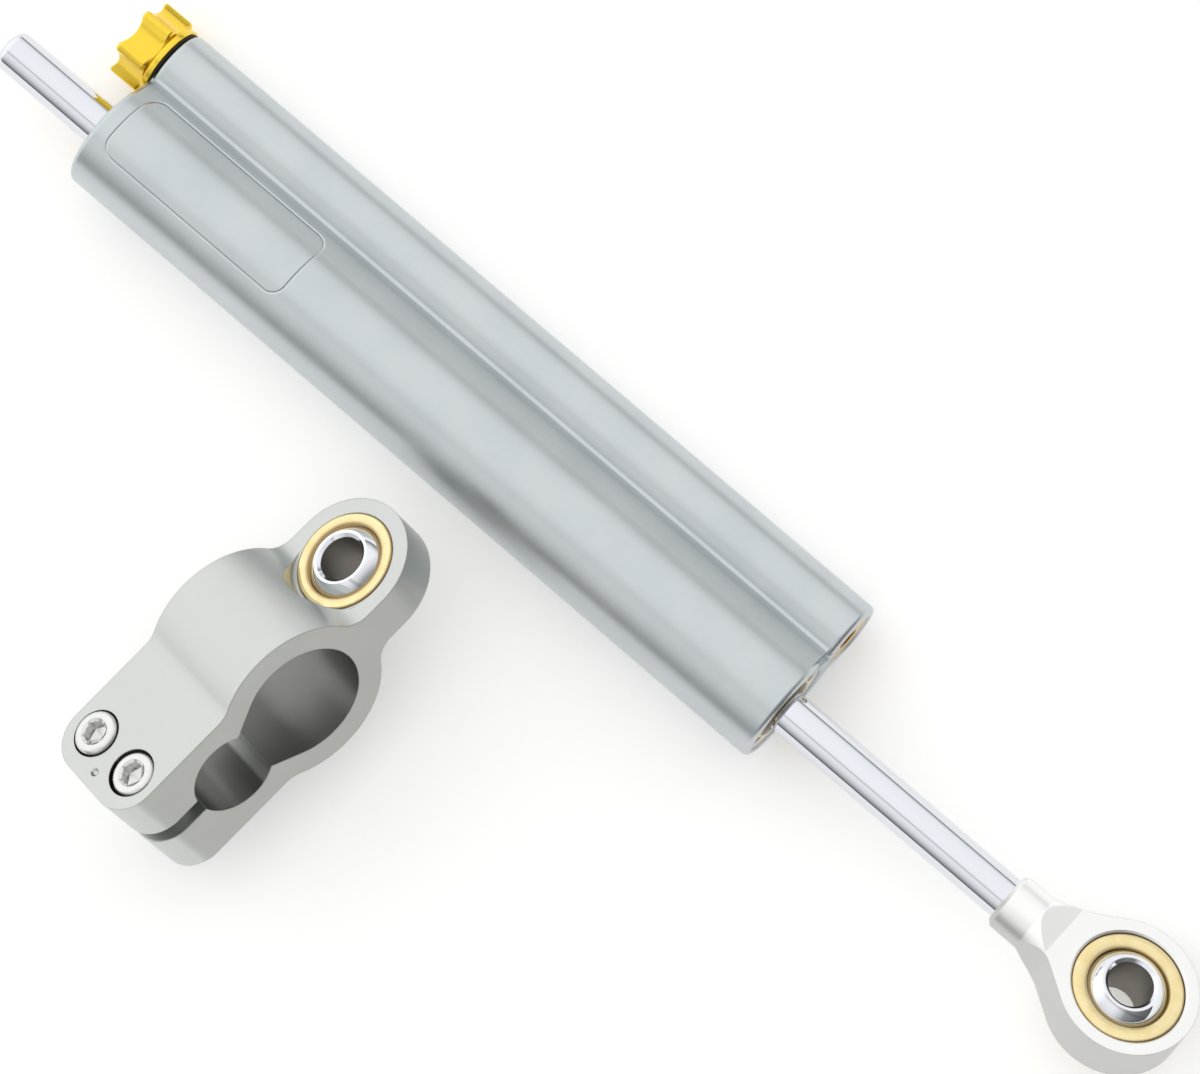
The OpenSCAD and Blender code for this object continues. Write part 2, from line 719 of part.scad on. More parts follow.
module knob_screw() {
    z = knob_front + knob_recess - seat_clear;
    color(steel) on_bypass(0) difference() {
        union() {
            translate([0, 0, z - 1.4])
                cylinder(d1 = knob_screw_head_d - 0.8, d2 = knob_screw_head_d, h = 0.4);
            translate([0, 0, z - 1]) cylinder(d = knob_screw_head_d, h = 1);
            translate([0, 0, z]) cylinder(r = knob_screw_d / 2 - seat_clear, h = knob_screw_len);
        }
        translate([0, 0, z - 2]) cylinder(r = 1 / cos(30), h = 1.5, $fn = 6);
    }
}

module detent_ball() {
    color(steel) on_bypass(0) rotate([0, 0, ball_angle])
        translate([detent_ring_r, 0, housing_recess - detent_ball_d / 2 - seat_clear])
            sphere(d = detent_ball_d, $fn = 48);
}

// Points of a wire's section, swept up a helix of the given mid radius and rise.
function coil_points(r_mid, wire, rise, turns, steps, sides) = [
    for (i = [0 : turns * steps], j = [0 : sides - 1])
        let (a = 360 * i / steps, b = 360 * j / sides, rr = r_mid + wire / 2 * cos(b))
        [rr * cos(a), rr * sin(a), rise * i / (turns * steps) + wire / 2 * sin(b)]
];

function coil_faces(rings, sides) = concat(
    [[for (j = [0 : sides - 1]) j]],
    [for (i = [0 : rings - 2], j = [0 : sides - 1], half = [0, 1])
        let (k = (j + 1) % sides, a = i * sides, b = a + sides)
        half == 0 ? [a + j, b + j, a + k] : [a + k, b + j, b + k]],
    [[for (j = [0 : sides - 1]) rings * sides - 1 - j]]
);

module coil(r_mid, wire, rise, turns, steps, sides) {
    polyhedron(points = coil_points(r_mid, wire, rise, turns, steps, sides),
               faces = coil_faces(turns * steps + 1, sides), convexity = 8);
}

module detent_spring() {
    wire = 0.25;
    low = knob_back - detent_depth + wire / 2 + seat_clear;
    high = housing_recess - detent_ball_d - 2 * seat_clear - wire / 2;
    color(steel) on_bypass(0) rotate([0, 0, ball_angle]) translate([detent_ring_r, 0, low])
        coil(detent_ball_d / 2 - wire / 2 - 0.1, wire, high - low, 6, 8, 6);
}

module needle_valve() {
    color(brass) on_bypass(0) difference() {
        union() {
            translate([0, 0, needle_top])
                cylinder(r = needle_flats / 2 / cos(30), h = needle_guide_len, $fn = 6);
            translate([0, 0, needle_top + needle_guide_len])
                cylinder(d = needle_d, h = needle_end - needle_tip_len - needle_top - needle_guide_len);
            translate([0, 0, needle_end - needle_tip_len])
                cylinder(d1 = needle_d, d2 = 0.8, h = needle_tip_len);
        }
        translate([0, 0, needle_top - 1]) cylinder(r = tail_r + run_clear, h = tail_end - needle_top + 2.1);
    }
}

module piston() {
    inner_seat = rod_o_ring_d + 2 * run_clear;
    outer_r = bore_r - piston_clear;
    color(aluminium_grey) on_main(piston_x) difference() {
        translate([0, 0, -piston_len / 2]) union() {
            cylinder(r1 = outer_r - 0.5, r2 = outer_r, h = 0.5);
            translate([0, 0, 0.5]) cylinder(r = outer_r, h = piston_len - 1);
            translate([0, 0, piston_len - 0.5]) cylinder(r1 = outer_r, r2 = outer_r - 0.5, h = 0.5);
        }
        translate([0, 0, -piston_len]) cylinder(r = rod_r + run_clear, h = 2 * piston_len);
        ring(bore_r - seat_clear - band_t - seat_clear, bore_r + 1, -band_w / 2, band_w / 2);
        ring(rod_r - 1, rod_r + run_clear + inner_seat, -inner_seat / 2, inner_seat / 2);
    }
}

module piston_band() {
    color(band_white) on_main(piston_x)
        ring(bore_r - seat_clear - band_t, bore_r - seat_clear,
             -band_w / 2 + seat_clear, band_w / 2 - seat_clear);
}

module piston_o_ring() {
    color(rubber_black) on_main(piston_x)
        torus(rod_r + 2 * run_clear + rod_o_ring_d / 2, rod_o_ring_d / 2);
}

clip_x = piston_len / 2 + rod_clip_wire / 2 + seat_clear;

module piston_rod() {
    color(chrome) on_main(0) difference() {
        union() {
            translate([0, 0, rod_tip_x + rod_tip_r]) cylinder(r = rod_r, h = rod_len - rod_tip_r);
            translate([0, 0, rod_tip_x]) cylinder(r = rod_r - rod_tip_r, h = rod_tip_r);
            translate([0, 0, rod_tip_x + rod_tip_r]) torus(rod_r - rod_tip_r, rod_tip_r);
            translate([0, 0, -neck_len - 0.01]) cylinder(d = stub_d, h = stub_len);
        }
        for (side = [-1, 1])
            translate([0, 0, piston_x + side * clip_x])
                ring(rod_r - rod_clip_wire / 2 - seat_clear, rod_r + 1,
                     -rod_clip_wire / 2 - seat_clear, rod_clip_wire / 2 + seat_clear);
    }
}

module piston_clips() {
    color(steel) for (side = [-1, 1])
        on_main(piston_x + side * clip_x) wire_clip(rod_r, rod_clip_wire);
}

// Turns the eye about the rod, from its own plane to the lean that it has at rest.
module leaning_eye() {
    rotate([-eye_lean, 0, 0]) children();
}

// Fills the corner between a circle and a line at height h with a concave fillet.
module corner_fillet(circle_r, h, fillet_r) {
    centre = [sqrt(pow(circle_r + fillet_r, 2) - pow(h + fillet_r, 2)), h + fillet_r];
    difference() {
        polygon([[0, 0], [centre.x, 0], centre]);
        translate(centre) circle(r = fillet_r + bite);
    }
}

flare_start = neck_len - neck_straight;
flare_len = flare_start - ramp_foot;
flare_r = neck_d / 2 + flare_len * tan(flare_slope);
flare_top = eye_r + 1;

// The rod end from above: the eye, straight sides, and fillets into the neck.
module eye_plan() {
    half = neck_d / 2 - 0.02;
    side = [-cos(eye_taper), -sin(eye_taper)];
    touch = (eye_r - bite) * [-sin(eye_taper), cos(eye_taper)];
    corner = touch + (touch.y - half) / sin(eye_taper) * side;
    run = neck_fillet * tan(eye_taper / 2);
    centre = [corner.x - run, half + neck_fillet];
    half_outline = [touch, corner - run * side, centre, [centre.x, half], [-flare_start, half]];
    circle(r = eye_r);
    difference() {
        polygon(concat(half_outline, [for (i = [len(half_outline) - 1 : -1 : 0])
            [half_outline[i].x, -half_outline[i].y]]));
        for (side = [1, -1])
            translate([centre.x, side * centre.y]) circle(r = neck_fillet + bite);
    }
}

// The two flats of the eye from the side, with their ramps down from the neck.
module eye_flats() {
    top = eye_t / 2;
    rise = (neck_len - ramp_foot) * tan(ramp_slope);
    for (side = [0, 1])
        mirror([0, side])
            polygon([[-neck_len, 0], [eye_r + 1, 0], [eye_r + 1, top],
                     [-ramp_foot, top], [-neck_len, top + rise]]);
}

module rod_end() {
    color(satin_silver) leaning_eye() difference() {
        union() {
            rotate([0, 90, 0]) translate([0, 0, -neck_len]) {
                cylinder(d1 = neck_d - 2 * neck_chamfer, d2 = neck_d, h = neck_chamfer);
                translate([0, 0, neck_chamfer])
                    cylinder(d = neck_d, h = neck_len - flare_start - neck_chamfer + 0.1);
            }
            intersection() {
                linear_extrude(2 * eye_r, center = true) eye_plan();
                rotate([90, 0, 0]) linear_extrude(2 * eye_r + 4, center = true) eye_flats();
                rotate([0, 90, 0]) translate([0, 0, -flare_start]) {
                    cylinder(r1 = neck_d / 2, r2 = flare_r, h = flare_len);
                    translate([0, 0, flare_len])
                        cylinder(r1 = flare_r, r2 = flare_top, h = flare_top - flare_r);
                    translate([0, 0, flare_len + flare_top - flare_r])
                        cylinder(r = flare_top, h = flare_start + eye_r);
                }
            }
        }
        translate([0, 0, -eye_t]) cylinder(r = race_d / 2 + seat_clear, h = 2 * eye_t);
        for (side = [0, 1])
            mirror([0, 0, side]) translate([0, 0, eye_t / 2 - eye_chamfer])
                cylinder(r1 = race_d / 2, r2 = race_d / 2 + 2 * eye_chamfer, h = 2 * eye_chamfer);
        translate([-neck_len - 1, 0, 0]) rotate([0, 90, 0])
            cylinder(r = stub_d / 2 + seat_clear, h = stub_len + 1.2);
    }
}

// A race: a ring round the ball, with a conical chamfer inside each face.
module race(d, w) {
    open_r = sqrt(pow(ball_r + run_clear, 2) - pow(w / 2, 2));
    color(brass) difference() {
        translate([0, 0, -w / 2]) cylinder(d = d, h = w);
        sphere(r = ball_r + run_clear);
        for (side = [0, 1])
            mirror([0, 0, side]) translate([0, 0, w / 2 - race_chamfer])
                cylinder(r1 = open_r, r2 = open_r + 2 * race_chamfer, h = 2 * race_chamfer);
    }
}

module ball() {
    color(chrome) difference() {
        intersection() {
            sphere(r = ball_r);
            translate([0, 0, -ball_top]) cylinder(r = ball_r + 1, h = ball_w);
        }
        translate([0, 0, -ball_w]) cylinder(d = ball_bore_d, h = 2 * ball_w);
        for (side = [0, 1])
            mirror([0, 0, side]) translate([0, 0, ball_top - ball_chamfer])
                cylinder(d1 = ball_bore_d, d2 = ball_bore_d + 4 * ball_chamfer, h = 2 * ball_chamfer);
    }
}

module rod_end_race() {
    leaning_eye() race(race_d, race_w);
}

module rod_end_ball() {
    leaning_eye() ball();
}

float_ring_z = float_depth + float_len / 2 - ring_seat / 2 - 0.15;
float_r = pipe_r - run_clear - seat_clear;

module compensator_piston() {
    color(aluminium_grey) on_bypass(0) difference() {
        union() {
            translate([0, 0, float_depth]) cylinder(r = float_r, h = float_len);
            translate([0, 0, float_end - 0.2]) cylinder(d = spigot_d, h = spigot_len + 0.2);
        }
        ring(float_r - ring_seat, float_r + 1, float_ring_z, float_ring_z + ring_seat + 0.3);
    }
}

module compensator_o_ring() {
    color(rubber_black) on_bypass(float_ring_z + ring_seat / 2 + 0.15)
        torus(float_r - ring_seat / 2, o_ring_d / 2);
}

module compensator_spring() {
    lift = spring_wire / 2 + seat_clear;
    color(steel) on_bypass(float_end + lift)
        coil((spring_d - spring_wire) / 2, spring_wire, spring_len - 2 * lift, spring_turns, 8, 6);
}

clamp_z = floor_z + clamp_w / 2 * sin(clamp_lean) + clamp_ring_r * cos(clamp_lean);

// Sets the bracket down: its own X is the bore's axis, Y runs to the ball, Z is the jaws' top.
module at_clamp() {
    translate([clamp_x, clamp_y, clamp_z]) rotate([0, 0, -clamp_heading])
        rotate([0, -clamp_lean, 0]) children();
}

// The bracket from the side: ring, jaws and tab, in Y and Z.
module clamp_profile() {
    circle(r = clamp_ring_r);
    translate([-jaw_reach - 1, -jaw_t / 2]) square([jaw_reach + 1, jaw_t]);
    translate([0, -tab_t / 2]) square([clamp_reach + clamp_w, tab_t]);
    for (side = [0, 1])
        mirror([0, side]) {
            mirror([1, 0]) corner_fillet(clamp_ring_r, jaw_t / 2, clamp_fillet);
            corner_fillet(clamp_ring_r, tab_t / 2, clamp_fillet);
        }
}

// The bracket from above: a round eye, straight sides and rounded jaw corners, in X and Y.
module clamp_plan() {
    half = clamp_w / 2;
    corner_y = -jaw_reach + jaw_corner;
    translate([0, clamp_reach]) circle(r = half);
    translate([-half, corner_y]) square([clamp_w, clamp_reach - corner_y]);
    for (side = [-1, 1])
        translate([side * (half - jaw_corner), corner_y]) circle(r = jaw_corner);
    translate([-half + jaw_corner, -jaw_reach]) square([clamp_w - 2 * jaw_corner, jaw_corner]);
}

seat_z = jaw_t / 2 - screw_head_h;

module clamp_bracket() {
    color(clamp_silver) at_clamp() difference() {
        intersection() {
            rotate([0, 90, 0]) rotate([0, 0, 90])
                linear_extrude(clamp_w + 2, center = true) clamp_profile();
            translate([0, 0, -clamp_ring_r - 1])
                linear_extrude(2 * clamp_ring_r + 2) clamp_plan();
        }
        rotate([0, 90, 0]) rotate([0, 0, -90])
            linear_extrude(clamp_w + 4, center = true) body_outline(clamp_clearance);
        translate([-clamp_w, -jaw_reach - 1, -slot_w / 2])
            cube([2 * clamp_w, jaw_reach + 1 - lobe_gap, slot_w]);
        translate([0, clamp_reach, -clamp_ring_r])
            cylinder(r = clamp_race_d / 2 + seat_clear, h = 2 * clamp_ring_r);
        for (side = [0, 1])
            mirror([0, 0, side]) translate([0, clamp_reach, tab_t / 2])
                cylinder(r = clamp_race_d / 2 + race_relief, h = clamp_ring_r);
        for (x = [-1, 1] * screw_pitch / 2)
            translate([x, -screw_reach, 0]) screw_hole();
        translate([0, -screw_reach - dimple_back, jaw_t / 2 - 0.4])
            cylinder(d1 = dimple_d - 0.8, d2 = dimple_d + 0.2, h = 0.5);
    }
}

// A counterbore and clearance hole above, and a tapped hole right through below.
module screw_hole() {
    translate([0, 0, seat_z]) cylinder(r = screw_head_d / 2 + screw_gap, h = jaw_t);
    translate([0, 0, -jaw_t]) cylinder(r = screw_d / 2 + seat_clear, h = 2 * jaw_t);
}

module clamp_race() {
    at_clamp() translate([0, clamp_reach, 0]) race(clamp_race_d, clamp_race_w);
}

module clamp_ball() {
    at_clamp() translate([0, clamp_reach, 0]) ball();
}

// A socket head screw whose head stands on z = 0.
module socket_screw(length) {
    difference() {
        union() {
            cylinder(d = screw_head_d, h = screw_head_h - 0.6);
            translate([0, 0, screw_head_h - 0.6])
                cylinder(d1 = screw_head_d, d2 = screw_head_d - 1.2, h = 0.6);
            translate([0, 0, -length]) cylinder(d = screw_d, h = length + 1);
        }
        translate([0, 0, screw_head_h - socket_depth])
            cylinder(r = screw_socket / 2 / cos(30), h = socket_depth + 1, $fn = 6);
    }
}

module clamp_screws() {
    color(steel) at_clamp() for (side = [-1, 1])
        translate([side * screw_pitch / 2, -screw_reach,
                   seat_z + seat_clear + (side < 0 ? screw_proud : 0)])
            rotate([0, 0, side * 9]) socket_screw(jaw_t / 2 + seat_z - screw_short);
}

damper_body();
rod_side() seal_head();  // rod_side_head
rod_side() head_clip();  // rod_side_head_clip
rod_side() head_o_ring();  // rod_side_head_o_ring
rod_side() wiper();  // rod_side_wiper
rod_side() rod_seal();  // rod_side_seal
rod_side() rod_bush();  // rod_side_bush
rod_side() bump_stop();  // rod_side_bump_stop
knob_side() seal_head();  // knob_side_head
knob_side() head_clip();  // knob_side_head_clip
knob_side() head_o_ring();  // knob_side_head_o_ring
knob_side() wiper();  // knob_side_wiper
knob_side() rod_seal();  // knob_side_seal
knob_side() rod_bush();  // knob_side_bush
knob_side() bump_stop();  // knob_side_bump_stop
adjuster_housing();
bypass_o_ring(housing_ring_z);  // housing_o_ring
valve_seat();
bypass_o_ring(seat_ring_z);  // seat_o_ring
end_plug();
bypass_o_ring(plug_ring_z);  // plug_o_ring
knob_dust_seal();
spindle_clip();
adjuster_knob();
adjuster_spindle();
spindle_o_ring();
knob_screw();
detent_ball();
detent_spring();
needle_valve();
piston();
piston_band();
piston_o_ring();
piston_rod();
piston_clips();
rod_end();
rod_end_race();
rod_end_ball();
compensator_piston();
compensator_o_ring();
compensator_spring();
clamp_bracket();
clamp_race();
clamp_ball();
clamp_screws();
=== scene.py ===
import json
import math

import bmesh
import bpy
import numpy as np
from mathutils import Matrix, Vector


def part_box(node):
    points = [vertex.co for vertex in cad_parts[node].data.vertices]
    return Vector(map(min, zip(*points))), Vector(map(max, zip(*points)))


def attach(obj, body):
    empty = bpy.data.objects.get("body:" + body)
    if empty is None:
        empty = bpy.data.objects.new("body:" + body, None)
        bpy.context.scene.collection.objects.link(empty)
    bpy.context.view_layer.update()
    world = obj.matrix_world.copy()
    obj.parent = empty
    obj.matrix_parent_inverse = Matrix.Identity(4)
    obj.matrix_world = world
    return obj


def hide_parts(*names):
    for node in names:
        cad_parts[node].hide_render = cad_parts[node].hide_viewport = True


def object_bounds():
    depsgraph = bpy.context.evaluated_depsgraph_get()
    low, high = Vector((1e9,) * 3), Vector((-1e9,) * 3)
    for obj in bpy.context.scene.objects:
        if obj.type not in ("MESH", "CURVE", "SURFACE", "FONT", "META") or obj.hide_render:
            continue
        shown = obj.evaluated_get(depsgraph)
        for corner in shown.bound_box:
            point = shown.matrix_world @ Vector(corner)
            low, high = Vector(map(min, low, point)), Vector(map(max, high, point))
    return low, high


# Steering damper with its clamp bracket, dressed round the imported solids.
# Metres; origin at the rod end's ball, +X along the rod, +Z up.

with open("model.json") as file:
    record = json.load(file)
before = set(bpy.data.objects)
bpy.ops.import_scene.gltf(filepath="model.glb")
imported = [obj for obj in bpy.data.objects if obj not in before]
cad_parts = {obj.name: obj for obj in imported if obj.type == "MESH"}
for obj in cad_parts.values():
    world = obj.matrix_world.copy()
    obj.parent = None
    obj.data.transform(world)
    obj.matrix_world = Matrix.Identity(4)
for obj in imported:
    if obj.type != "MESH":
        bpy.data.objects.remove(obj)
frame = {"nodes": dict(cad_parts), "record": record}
nodes = frame["nodes"]
cadBox = [list(corner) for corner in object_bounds()]
mm = 0.001


def toLinear(hexColour):
    # sRGB hex to linear RGBA
    out = []
    for i in (0, 2, 4):
        c = int(hexColour.lstrip("#")[i:i + 2], 16) / 255
        out.append(c / 12.92 if c <= 0.04045 else ((c + 0.055) / 1.055) ** 2.4)
    return (*out, 1.0)


def addNode(tree, kind, settings=None, **links):
    # one shader node; a link is a value for the socket, or an output to join to it
    node = tree.nodes.new("ShaderNode" + kind)
    for name, value in (settings or {}).items():
        setattr(node, name, value)
    for name, value in links.items():
        byNumber = name[0] == "_" and name[1:].isdigit()
        socket = node.inputs[int(name[1:])] if byNumber else node.inputs[name.replace("_", " ")]
        if isinstance(value, bpy.types.NodeSocket):
            tree.links.new(value, socket)
        else:
            socket.default_value = value
    return node


def newMaterial(name, **principled):
    mat = bpy.data.materials.new(name)
    mat.use_nodes = True
    tree = mat.node_tree
    tree.nodes.clear()
    shader = addNode(tree, "BsdfPrincipled", None, **principled)
    addNode(tree, "OutputMaterial", None, Surface=shader.outputs[0])
    return mat, tree, shader


def objectSpace(tree, stretch=(1, 1, 1)):
    # Object coordinates in metres; a pattern is drawn out along an axis by a stretch below 1
    coords = addNode(tree, "TexCoord")
    return addNode(tree, "Mapping", {"vector_type": "POINT"}, Vector=coords.outputs["Object"],
                   Scale=stretch).outputs[0]


def ramp(tree, value, stops):
    # a ramp of (position, grey) stops
    node = addNode(tree, "ValToRGB", None, Fac=value)
    band = node.color_ramp
    while len(band.elements) > 1:
        band.elements.remove(band.elements[-1])
    for i, (place, grey) in enumerate(stops):
        element = band.elements[0] if i == 0 else band.elements.new(place)
        element.position = place
        element.color = (grey, grey, grey, 1)
    return node.outputs[0]


def reckon(tree, operation, a, b=0.0, c=0.0, clamp=False):
    # one sum on single values
    return addNode(tree, "Math", {"operation": operation, "use_clamp": clamp}, _0=a, _1=b, _2=c).outputs[0]


def bumped(tree, height, strength, distance, normal=None):
    links = {"Height": height, "Strength": strength, "Distance": distance}
    if normal is not None:
        links["Normal"] = normal
    return addNode(tree, "Bump", None, **links).outputs[0]


def mixInto(tree, shader, share, first, second):
    # base colour from one sRGB colour to another, by a share from 0 to 1
    tint = addNode(tree, "Mix", {"data_type": "RGBA"}, Factor=share, _6=toLinear(first), _7=toLinear(second))
    tree.links.new(tint.outputs[2], shader.inputs["Base Color"])


def softEdges(tree, radius):
    # the Bevel node breaks the look of a machined edge without touching the mesh
    return addNode(tree, "Bevel", {"samples": 6}, Radius=radius).outputs[0]


print("frame loaded:", len(nodes), "nodes")

# camera, from the photograph's own perspective
photoView = {
    "place": (24.322 * mm, -19.34 * mm, 947.8 * mm),
    "right": (0.75195784, 0.65164742, -0.09957434),
    "up": (-0.64189261, 0.75819756, 0.11450041),
    "forward": (-0.15011091, 0.02218345, -0.98842026),
    "lens": 165.866,
}


def makeCamera(p):
    data = bpy.data.cameras.new("photoCamera")
    data.sensor_width = 36
    data.lens = p["lens"]
    data.clip_start, data.clip_end = 0.01, 50
    cam = bpy.data.objects.new("photoCamera", data)
    bpy.context.scene.collection.objects.link(cam)
    columns = [Vector(p["right"]).normalized(), Vector(p["up"]).normalized(), -Vector(p["forward"]).normalized()]
    turn = Matrix((columns[0], columns[1], columns[2])).transposed()
    cam.matrix_world = Matrix.Translation(p["place"]) @ turn.to_4x4()
    bpy.context.scene.camera = cam


makeCamera(photoView)

studio = {
    "floorDrop": 0.02 * mm,
    "floorSize": 30.0,
    "floorColour": "#F6F6F4",
    "floorLift": 0.27,   # light the floor gives of itself, so that it shows white
    # brightness round the damper's length, by angle in degrees from straight up, turning towards +Y
    "across": [(-180, 0.25), (-100, 0.14), (-86, 0.16), (-74, 0.46), (-60, 0.80), (-46, 0.98), (-34, 1.05),
               (-30, 1.05), (-27, 0.72), (-22, 0.76), (-18, 1.12), (-5, 1.15), (14, 1.16), (40, 1.14), (68, 1.10),
               (76, 0.94), (84, 0.42), (91, 0.15), (110, 0.12), (180, 0.25)],
    "endPanel": 1.3,     # a panel that fills the -X end of the sky
    "panelEdge": (-0.4, -0.7),   # how far the sky's direction points along X where the panel begins and is full
    # share of that brightness, by how far the sky's direction points along X, from -1 to 1
    "along": [(-1.0, 1.15), (-0.55, 1.08), (-0.3, 1.0), (0.15, 1.0), (0.4, 0.72), (0.6, 0.34), (1.0, 0.12)],
}


def makeWorld(p):
    # sky = across(atan2(y, z)) times along(x), a long softbox over the damper that fades towards +X; the -X end is
    # filled by a plain panel
    world = bpy.data.worlds.new("studioSky")
    bpy.context.scene.world = world
    world.use_nodes = True
    tree = world.node_tree
    tree.nodes.clear()
    coords = addNode(tree, "TexCoord")
    parts = addNode(tree, "SeparateXYZ", None, Vector=coords.outputs["Generated"])
    angle = reckon(tree, "ARCTAN2", parts.outputs["Y"], parts.outputs["Z"])
    peak = max(level for _, level in p["across"])
    across = ramp(tree, reckon(tree, "MULTIPLY_ADD", angle, 1 / (2 * math.pi), 0.5),
                  [((a + 180) / 360, level / peak) for a, level in p["across"]])
    top = max(level for _, level in p["along"])
    along = ramp(tree, reckon(tree, "MULTIPLY_ADD", parts.outputs["X"], 0.5, 0.5),
                 [((x + 1) / 2, level / top) for x, level in p["along"]])
    both = reckon(tree, "MULTIPLY", across, along)
    panel = addNode(tree, "MapRange", None, Value=parts.outputs["X"], From_Min=p["panelEdge"][0],
                    From_Max=p["panelEdge"][1]).outputs[0]
    short = reckon(tree, "MAXIMUM", reckon(tree, "SUBTRACT", p["endPanel"] / peak / top, both), 0.0)
    level = reckon(tree, "MULTIPLY_ADD", short, panel, both)
    sky = addNode(tree, "Background", None, Color=level, Strength=peak * top)
    addNode(tree, "OutputWorld", None, Surface=sky.outputs[0])


def makeFloor(p):
    half = p["floorSize"] / 2
    z = cadBox[0][2] - p["floorDrop"]
    mesh = bpy.data.meshes.new("studioFloor")
    mesh.from_pydata([(-half, -half, z), (half, -half, z), (half, half, z), (-half, half, z)], [], [(0, 1, 2, 3)])
    floor = bpy.data.objects.new("studioFloor", mesh)
    bpy.context.scene.collection.objects.link(floor)
    mat = bpy.data.materials.new("paleFloor")
    mat.use_nodes = True
    tree = mat.node_tree
    tree.nodes.clear()
    matt = addNode(tree, "BsdfDiffuse", None, Color=toLinear(p["floorColour"]))
    glow = addNode(tree, "Emission", None, Color=(1, 1, 1, 1), Strength=p["floorLift"])
    lifted = addNode(tree, "AddShader", None, _0=matt.outputs[0], _1=glow.outputs[0])
    rays = addNode(tree, "LightPath")
    direct = reckon(tree, "ADD", rays.outputs["Is Camera Ray"], rays.outputs["Is Glossy Ray"])
    direct = reckon(tree, "ADD", direct, rays.outputs["Is Transmission Ray"], clamp=True)
    both = addNode(tree, "MixShader", None, _0=direct, _1=matt.outputs[0], _2=lifted.outputs[0])
    addNode(tree, "OutputMaterial", None, Surface=both.outputs[0])
    mesh.materials.append(mat)


bpy.context.scene.view_settings.view_transform = "Standard"
makeWorld(studio)
makeFloor(studio)
print("camera, floor and sky ready")

# in the finishes below a pattern's scale is in cells per metre, which is 1000 over its size in millimetres. Grain
# that is too fine to show from the camera, about 0.1 mm on the real metal, is drawn a few times as coarse


def engravedBorder(tree, b):
    # height 0 in the groove and 1 beside it: the distance to a rounded rectangle in XY over the groove's width, as
    # a cutter that comes down from above leaves it
    parts = addNode(tree, "SeparateXYZ", None, Vector=addNode(tree, "TexCoord").outputs["Object"])
    dx = reckon(tree, "ABSOLUTE", reckon(tree, "SUBTRACT", parts.outputs["X"], b["centre"][0]))
    dy = reckon(tree, "ABSOLUTE", reckon(tree, "SUBTRACT", parts.outputs["Y"], b["centre"][1]))
    qx = reckon(tree, "SUBTRACT", dx, b["half"][0] - b["corner"])
    qy = reckon(tree, "SUBTRACT", dy, b["half"][1] - b["corner"])
    ox, oy = reckon(tree, "MAXIMUM", qx, 0.0), reckon(tree, "MAXIMUM", qy, 0.0)
    squares = reckon(tree, "ADD", reckon(tree, "MULTIPLY", ox, ox), reckon(tree, "MULTIPLY", oy, oy))
    outside = reckon(tree, "SQRT", squares)
    inside = reckon(tree, "MINIMUM", reckon(tree, "MAXIMUM", qx, qy), 0.0)
    distance = reckon(tree, "SUBTRACT", reckon(tree, "ADD", outside, inside), b["corner"])
    groove = reckon(tree, "DIVIDE", reckon(tree, "ABSOLUTE", distance), b["width"], clamp=True)
    upper = reckon(tree, "GREATER_THAN", parts.outputs["Z"], 0.0)   # the under side stays whole
    return reckon(tree, "MAXIMUM", groove, reckon(tree, "SUBTRACT", 1.0, upper))


def satinAnodisedBody():
    # drawn aluminium tube, etched and clear anodised: a soft blue-grey satin with a fine mottle and faint draw lines
    # along X, clouds 11 mm wide, and one engraved border with nothing in it
    p = {"darkTone": "#BBC2C5", "paleTone": "#CBD0D2", "rough": 0.34, "roughSpread": 0.10, "mottle": 0.35 * mm,
         "line": 0.12 * mm, "lineStretch": 0.012, "cloudScale": 90.0, "relief": 0.02 * mm, "lineRelief": 0.25,
         "mottleRelief": 0.20,
         "border": {"centre": (-209.1 * mm, 3.29 * mm), "half": (20.55 * mm, 6.84 * mm), "corner": 2.8 * mm,
                    "width": 0.28 * mm, "depth": 0.14 * mm}}
    mat, tree, shader = newMaterial("satinAnodisedBody", Metallic=1.0)
    coords = objectSpace(tree)
    mottle = addNode(tree, "TexNoise", {"noise_dimensions": "3D"}, Vector=coords, Scale=1 / p["mottle"] / 3,
                     Detail=3.0, Roughness=0.6)
    stretched = objectSpace(tree, stretch=(p["lineStretch"], 1, 1))
    lines = addNode(tree, "TexNoise", None, Vector=stretched, Scale=1 / p["line"] / 2, Detail=2.0)
    cloud = addNode(tree, "TexNoise", None, Vector=coords, Scale=p["cloudScale"], Detail=4.0)
    mixInto(tree, shader, cloud.outputs["Fac"], p["darkTone"], p["paleTone"])
    rough = reckon(tree, "MULTIPLY_ADD", mottle.outputs["Fac"], p["roughSpread"], p["rough"] - p["roughSpread"] / 2)
    tree.links.new(rough, shader.inputs["Roughness"])
    normal = bumped(tree, engravedBorder(tree, p["border"]), 1.0, p["border"]["depth"])
    normal = bumped(tree, lines.outputs["Fac"], p["lineRelief"], p["relief"], normal)
    normal = bumped(tree, mottle.outputs["Fac"], p["mottleRelief"], p["relief"], normal)
    tree.links.new(normal, shader.inputs["Normal"])
    return mat


